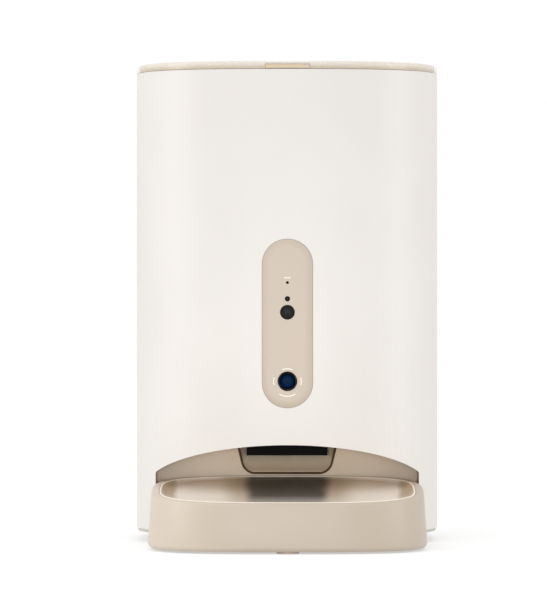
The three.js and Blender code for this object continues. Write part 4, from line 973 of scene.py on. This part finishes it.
mesh = bmesh.new()
plate_rings = [pill_ring(mesh, *pair) for pair in PLATE_FRONT]
bridged_pairs(mesh, plate_rings)
bmesh.ops.edgeloop_fill(mesh, edges=plate_rings[-1])
back_rings = [plate_rings[0]] + [pill_ring(mesh, *pair) for pair in PLATE_BACK]
bridged_pairs(mesh, back_rings)
bmesh.ops.edgeloop_fill(mesh, edges=back_rings[-1])
plate = solid("front_plate", mesh)
for radius, height in PLATE_HOLES:
    cut(plate, rod_inward(radius, front_y - 2 * MM, front_y + 9 * MM, height))
dressed(plate, "plate_beige", "tower", "front_plate", edge=0.2, sharp=40)

# %% [markdown]
# Turned pieces are spun: a short profile is drawn once and swept round its axis. The lens barrel
# is a black ring with a stepped well, and the glass in it is a low dome.

# %% Lens, windows and microphone
def spun(name, height, profile, face=front_y, inward=1, count=96):
    """A turned piece in a face: its profile is pairs of radius and depth behind that face."""
    mesh = bmesh.new()
    verts = [mesh.verts.new((radius * MM, face + inward * depth * MM, height))
             for radius, depth in profile]
    edges = [mesh.edges.new(pair) for pair in zip(verts, verts[1:])]
    bmesh.ops.spin(mesh, geom=verts + edges, cent=(0, face, height), axis=(0, 1, 0),
                   angle=tau, steps=count, use_merge=True)
    return solid(name, mesh)


DOME_RADIUS = 5.2
turns = [step / 12 * pi / 2 for step in range(13)]
dome = [(DOME_RADIUS * sin(turn), 3.1 - 1.4 * cos(turn)) for turn in turns]
barrel_back = (lens_high.y - front_y) / MM
window_back = (infrared_high.y - front_y) / MM
pickup_front = (microphone_low.y - front_y) / MM
pickup_back = (microphone_high.y - front_y) / MM
# Finish, height and profile of each turned piece.
TURNED = {
    "lens_barrel": ("black_gloss", LENS_HEIGHT, (
        (0, barrel_back), (6.1, barrel_back), (6.1, 0.3), (6.0, 0.08), (5.85, 0), (5.7, 0.05),
        (5.6, 0.4), (5.5, 1.0), (5.5, 5.4), (0, 5.4))),
    "lens_glass": ("lens_glass", LENS_HEIGHT, dome + [(DOME_RADIUS, 5.1), (0, 5.1)]),
    "infrared_window": ("smoke_window", INFRARED_HEIGHT, (
        (0, 0.32), (4.2, 0.32), (4.4, 0.38), (4.5, 0.55), (4.5, 2.8), (5.7, 2.8),
        (5.7, window_back), (0, window_back))),
    "light_sensor": ("black_gloss", SENSOR_HEIGHT, (
        (0, 0.32), (1.2, 0.32), (1.4, 0.42), (1.45, 0.6), (1.45, 2.8), (2.65, 2.8),
        (2.65, window_back), (0, window_back))),
    "microphone": ("black_plastic", MICROPHONE_HEIGHT, (
        (0, pickup_front), (2.7, pickup_front), (3, pickup_front + 0.3), (3, pickup_back),
        (0, pickup_back))),
}
for name, (finish, height, profile) in TURNED.items():
    dressed(spun(name, height, profile), finish, "tower", name, edge=0)

# %% [markdown]
# Plain printed marks, four short arcs round the lens and a dash above the microphone, are thin
# cream skins on the plate. Each arc is a narrow profile that is spun through part of a turn.

# %% Marks on the plate
MARK_HALF = 0.3
MARK_FRONT = -0.02
MARK_BACK = 0.05
# Arcs as radius, where its middle lies in degrees, and half its width in degrees.
ARCS = ((8.1, 90, 24), (8.9, 0, 16), (8.9, 180, 16), (9.7, 270, 32))
ARC_STEPS = 14
DASH_RISE = 3.1 * MM
DASH_SIZE = (4.4 * MM, 0.05 * MM, 0.6 * MM)


def arc_mark(mesh, radius, middle_turn, half_turn):
    """A short arc round the lens, on the plate's front."""
    inner, outer = radius - MARK_HALF, radius + MARK_HALF
    profile = ((inner, MARK_BACK), (inner, MARK_FRONT), (outer, MARK_FRONT), (outer, MARK_BACK))
    verts = [mesh.verts.new((reach * MM, front_y + depth * MM, LENS_HEIGHT))
             for reach, depth in profile]
    edges = [mesh.edges.new(pair) for pair in zip(verts, verts[1:])]
    centre = (0, front_y, LENS_HEIGHT)
    turned = Matrix.Rotation(radians(half_turn - middle_turn), 4, "Y")
    bmesh.ops.rotate(mesh, verts=verts, cent=centre, matrix=turned)
    bmesh.ops.spin(mesh, geom=verts + edges, cent=centre, axis=(0, 1, 0),
                   angle=-radians(2 * half_turn), steps=ARC_STEPS, use_merge=False)


mesh = bmesh.new()
for arc in ARCS:
    arc_mark(mesh, *arc)
dash_place = Matrix.Translation((0, front_y, MICROPHONE_HEIGHT + DASH_RISE))
bmesh.ops.create_cube(mesh, size=1.0, matrix=dash_place @ Matrix.Diagonal((*DASH_SIZE, 1)))
marks = solid("plate_marks", mesh)
finished(marks, "mark_cream")
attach(marks, "tower")

# %% [markdown]
# ## Lid
# The clear panel is a shallow tray upside down with a rounded top edge. It is cut off straight in
# front of the hinge, hollowed, and slotted for the latch.

# %% Lid panel
LID_SKIRT = 1.7
LID_SKIN = 1.8
LID_EDGE = 1.5
LID_EDGE_STEPS = 6
frame_low, frame_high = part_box("lid_frame")
latch_low, latch_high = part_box("lid_latch")
hinge_low, hinge_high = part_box("hinge_pin")
hinge_axis_y = (hinge_low.y + hinge_high.y) / 2
hinge_axis_z = (hinge_low.z + hinge_high.z) / 2
lid_rear = panel_high.y


def rounded_slab(mesh, bottom):
    """Rings of a slab whose top edge is rounded."""
    rings = [body_ring(mesh, 0, bottom)]
    for step in range(LID_EDGE_STEPS + 1):
        turn = step / LID_EDGE_STEPS * pi / 2
        inset = LID_EDGE * (1 - cos(turn))
        drop = LID_EDGE * (1 - sin(turn))
        rings.append(body_ring(mesh, inset * MM, panel_high.z - drop * MM))
    return rings


def latch_slot(top):
    """The room round the latch."""
    side = latch_high.x + 0.4 * MM
    return box_mesh((-side, at_y(IN_FRONT), panel_low.z - 1 * MM),
                    (side, latch_high.y + 2.4 * MM, top))


mesh = bmesh.new()
panel_mesh = bridged(mesh, rounded_slab(mesh, panel_low.z))
panel = solid("lid_panel", sliced(panel_mesh, (0, lid_rear, 0), (0, 1, 0)))
skin_bottom = panel_high.z - LID_SKIN * MM
cut(panel, body_slab(LID_SKIRT, panel_low.z - 1 * MM, skin_bottom))
cut(panel, latch_slot(skin_bottom))
dressed(panel, "lid_clear", "lid", "lid_panel", edge=0.2)

# %% [markdown]
# The beige frame lies under the clear panel, with two windows on the food, a round dish for the
# desiccant box and two knuckles at the back. A thin collar closes the gap round the latch. Behind
# the lid, the hinge bridge carries the pin in a rounded nose with room for the knuckles.

# %% Lid frame, latch and hinge bridge
WINDOW_MIDDLE = 60 * MM
WINDOW_HALF = 20 * MM
DISH_RADIUS = 30
DISH_BOTTOM = 0.3105
ABOVE_FRAME = 0.32
NOSE_RADIUS = 2.4
HINGE_BORE = 1.3
KNUCKLE_ENDS = (34.4 * MM, 51.6 * MM)
NOTCH_ENDS = (34 * MM, 52 * MM)
NOSE_REACH = 76 * MM
LATCH_BOTTOM = 0.3093
LATCH_NOSE_HALF = 8
COLLAR_FRONT, COLLAR_REAR = 0.25 * MM, 1.3 * MM


def hinge_rod(radius, left, right, count=24):
    """A rod on the hinge's axis."""
    return rod_across(radius, left, right, hinge_axis_y, hinge_axis_z, count)


lid_frame_mesh = sliced(body_slab(2, frame_low.z, frame_high.z), (0, lid_rear, 0), (0, 1, 0))
lid_frame = solid("lid_frame", lid_frame_mesh)
for side in (-1, 1):
    middle = side * WINDOW_MIDDLE
    window = box_mesh((middle - WINDOW_HALF, at_y(-38), 0.30),
                      (middle + WINDOW_HALF, at_y(50), ABOVE_FRAME))
    cut(lid_frame, rounded_edges(window, runs_along(2), 9 * MM, 10))
cut(lid_frame, rod_upright(DISH_RADIUS, (0, at_y(6)), DISH_BOTTOM, ABOVE_FRAME, 96))
cut(lid_frame, latch_slot(ABOVE_FRAME))
for side in (-1, 1):
    left, right = sorted(side * end for end in KNUCKLE_ENDS)
    add(lid_frame, box_mesh((left, lid_rear - 1 * MM, hinge_axis_z - NOSE_RADIUS * MM),
                            (right, hinge_axis_y, frame_high.z)))
    add(lid_frame, hinge_rod(NOSE_RADIUS, left, right, 40))
    cut(lid_frame, hinge_rod(HINGE_BORE, left - 1 * MM, right + 1 * MM))
dressed(lid_frame, "lid_beige", "lid", "lid_frame", edge=0.25)

latch = solid("lid_latch", box_mesh((latch_low.x, latch_low.y, LATCH_BOTTOM), latch_high))
add(latch, block(LATCH_NOSE_HALF, -90.8, -89, latch_low.z, latch_high.z))
dressed(latch, "latch_tan", "latch", "lid_latch", edge=0.4, slot="lid_beige")

collar_side = latch_high.x + 0.38 * MM
collar = solid("latch_collar", box_mesh(
    (-collar_side, latch_low.y + COLLAR_FRONT, panel_low.z + 0.04 * MM),
    (collar_side, latch_low.y + COLLAR_REAR, panel_high.z - 1.82 * MM)))
room_side = latch_high.x + 0.1 * MM
cut(collar, box_mesh((-room_side, at_y(IN_FRONT), LATCH_BOTTOM - 0.1 * MM),
                     (room_side, at_y(-90), latch_high.z + 0.1 * MM)))
finished(collar, "lid_beige")
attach(collar, "lid")

bridge_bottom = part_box("hinge_bridge")[0].z
mesh = bmesh.new()
slab = bridged(mesh, rounded_slab(mesh, bridge_bottom))
bridge = solid("hinge_bridge", sliced(slab, (0, hinge_axis_y, 0), (0, -1, 0)))
add(bridge, hinge_rod(NOSE_RADIUS, -NOSE_REACH, NOSE_REACH, 40))
for side in (-1, 1):
    left, right = sorted(side * end for end in NOTCH_ENDS)
    cut(bridge, box_mesh((left, hinge_axis_y - 3.4 * MM, 0.3077),
                         (right, hinge_axis_y + 3.6 * MM, 0.3149)))
cut(bridge, hinge_rod(HINGE_BORE, hinge_low.x, hinge_high.x))
dressed(bridge, "lid_beige", "tower", "hinge_bridge", edge=0.25)

# %% [markdown]
# ## Tray and bowl
# The tray's wall leans in a little as it rises, and its rim is a plane that climbs towards the
# tower. The steel bowl is pressed from one sheet and lies in the rim.

# %% Feeding tray
TRAY_Y = at_y(-112.5)
TRAY_HALF_WIDTH, TRAY_HALF_DEPTH = 89.5, 77.5
BOWL_HALF_DEPTH = 70
RIM_HEIGHT = 37.5
RIM_SLOPE = 0.0795
BOWL_REAR = 3.8
FOOT_EDGE = 3
FOOT_START = 1.3
FOOT_STEPS = 6
NUB_RADIUS = 7.2
NUBS = ((0, -180), (-80.5, -118), (80.5, -118))


def tray_ring(mesh, inset, height, slope=0.0):
    """The tray's outline, moved in by an inset."""
    return squircle(mesh, (TRAY_HALF_WIDTH - inset) * MM, (TRAY_HALF_DEPTH - inset) * MM,
                    TRAY_ROUNDNESS, TRAY_Y, height * MM, slope)


def bowl_ring(mesh, inset, drop, slope):
    """The bowl's outline, moved in by an inset and lowered from the rim."""
    return squircle(mesh, (BOWL_REACH - inset) * MM, (BOWL_HALF_DEPTH - inset) * MM,
                    TRAY_ROUNDNESS, TRAY_Y, (RIM_HEIGHT - drop) * MM, slope, rear=BOWL_REAR)


def bowl_well(mesh, grow, collar):
    """Rings of the bowl's form, from its floor to its rim and a little above."""
    rings = [
        bowl_ring(mesh, 12 - grow, 7.5 + grow, 0.185),
        bowl_ring(mesh, 5 - grow, 6.3 + grow / 2, 0.152),
        bowl_ring(mesh, 2.6 - grow, 4.9 + grow / 2, 0.127),
        bowl_ring(mesh, -grow, 0.3, RIM_SLOPE),
    ]
    if collar > 0:
        rings.append(bowl_ring(mesh, -grow, 0.3 - collar, RIM_SLOPE))
    return rings


mesh = bmesh.new()
tray_rings = [tray_ring(mesh, FOOT_EDGE, FOOT_START)]
for step in range(1, FOOT_STEPS + 1):
    turn = step / FOOT_STEPS * pi / 2
    inset = FOOT_EDGE * (1 - sin(turn))
    tray_rings.append(tray_ring(mesh, inset, FOOT_START + FOOT_EDGE * (1 - cos(turn))))
for inset, drop in ((2.1, 1.2), (2.2, 0.6), (2.5, 0.2), (3.0, 0)):
    tray_rings.append(tray_ring(mesh, inset, RIM_HEIGHT - drop, RIM_SLOPE))
tray = solid("feeding_tray", bridged(mesh, tray_rings))
mesh = bmesh.new()
under_rings = [tray_ring(mesh, 5.2, 0.3), tray_ring(mesh, 2.2, 3.3),
               tray_ring(mesh, 4.3, RIM_HEIGHT - 2.2, RIM_SLOPE)]
underside = solid("hollow", bridged(mesh, under_rings))
mesh = bmesh.new()
cut(underside, bridged(mesh, bowl_well(mesh, 2.5, 1)))
cut(tray, mesh_of(underside))
mesh = bmesh.new()
cut(tray, bridged(mesh, bowl_well(mesh, 0.3, 1)))
cut(tray, body_slab(-1, -1 * MM, base_top + 0.3 * MM))
for x, y in NUBS:
    nub = rod_upright(NUB_RADIUS, (x * MM, at_y(y)), 0, 6 * MM, 48)
    add(tray, rounded_edges(nub, on_the_floor, 0.8 * MM, 4))
dressed(tray, "tray_beige", "tray", "feeding_tray", edge=0.3)

# %% [markdown]
# The bowl's outside follows its seat. Its inside is a second skin whose bends are rounded, and a
# rolled bead runs round the edge, coloured pale as a painted highlight.

# %% Steel bowl
# The inside's rings: inset, drop from the rim and slope.
BOWL_INSIDE = ((0.8, 0.3, RIM_SLOPE), (2.0, 2.6, 0.1), (3.0, 4.2, 0.122), (4.2, 5.0, 0.136),
               (6.0, 5.75, 0.152), (9.0, 6.4, 0.17), (13.0, 6.7, 0.182))
# The bead's rings: inset and drop from the rim.
BEAD = ((0.1, 0.35), (-0.05, 0.0), (0.15, -0.22), (0.5, -0.3), (0.85, -0.22), (1.05, 0.0),
        (0.9, 0.35))

mesh = bmesh.new()
outside = bowl_well(mesh, 0, 0)
inside = [bowl_ring(mesh, *ring) for ring in BOWL_INSIDE]
bowl = solid("steel_bowl", bridged(mesh, outside + inside))
dressed(bowl, "bowl_steel", "bowl", "steel_bowl", edge=0, sharp=50)

mesh = bmesh.new()
bead_rings = [bowl_ring(mesh, inset, drop, RIM_SLOPE) for inset, drop in BEAD]
bridged_pairs(mesh, bead_rings + bead_rings[:1])
bead = solid("bowl_bead", mesh)
bead.data.shade_smooth()
finished(bead, "bead_painted_highlight")
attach(bead, "bowl")

# %% [markdown]
# ## Back
# The power socket and the pairing button sit in the rear wall.

# %% Power socket and pairing button
rear_y = at_y(100)
socket_low, socket_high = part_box("power_socket")
socket_middle = (socket_low.z + socket_high.z) / 2
socket = solid("power_socket", box_mesh(socket_low, (socket_high.x, at_y(97.2), socket_high.z)))
add(socket, rod_inward(5.2, at_y(96.2), socket_high.y, socket_middle))
cut(socket, rod_inward(3.1, socket_high.y - 9 * MM, rear_y, socket_middle, 48))
dressed(socket, "black_plastic", "tower", "power_socket", edge=0.2)
pin_low, pin_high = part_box("socket_pin")


def at_the_tip(edge):
    """A test for edges at the socket pin's tip."""
    return edge.verts[0].co.y + edge.verts[1].co.y > 2 * pin_high.y - 1 * MM


pin_mesh = rod_inward(1, pin_low.y, pin_high.y, socket_middle, 32)
socket_pin = solid("socket_pin", rounded_edges(pin_mesh, at_the_tip, 0.4 * MM))
dressed(socket_pin, "steel", "tower", "socket_pin", edge=0)

button_low, button_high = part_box("pair_button")
button_middle = (button_low.z + button_high.z) / 2
button_back = (rear_y - button_low.y) / MM
button = spun("pair_button", button_middle, (
    (0, 0.45), (2.2, 0.4), (3.4, 0.22), (3.8, 0.3), (4, 0.6), (4, 2.8), (5.5, 2.8),
    (5.5, button_back), (0, button_back),
), face=rear_y, inward=-1, count=64)
dressed(button, "button_grey", "button", "pair_button", edge=0)

# %% [markdown]
# ## What stays as it was made
# Gears, motor, boards, batteries and the other inner pieces are already right, so the mechanical
# solids stay in the picture and only take a finish.

# %% Finishes for the inner pieces
INNER_PIECES = {
    "inner_grey": ("mid_deck", "gearbox_case", "gearbox_cover", "battery_box"),
    "hopper_smoke": ("hopper",),
    "rotor_beige": ("portion_rotor", "agitator", "outlet_cover"),
    "steel": ("rotor_shaft", "idler_axle", "battery_contact_left", "battery_contact_right",
              "hinge_pin", "flap_pin"),
    "silicone": ("shaft_seal", "lid_seal"),
    "gear_nylon": ("output_gear", "idler_gear"),
    "brass": ("motor_pinion",),
    "motor_steel": ("drive_motor",),
    "battery_can": ("battery_cell_1", "battery_cell_2", "battery_cell_3"),
    "black_plastic": ("camera_housing", "speaker"),
    "board_green": ("camera_board", "main_board", "rear_board"),
    "desiccant_white": ("desiccant_box", "desiccant_cover"),
}
for finish, names in INNER_PIECES.items():
    for name in names:
        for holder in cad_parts[name].material_slots:
            holder.link = "OBJECT"
            holder.material = finishes[finish]
print("finished", sum(len(names) for names in INNER_PIECES.values()), "inner pieces")
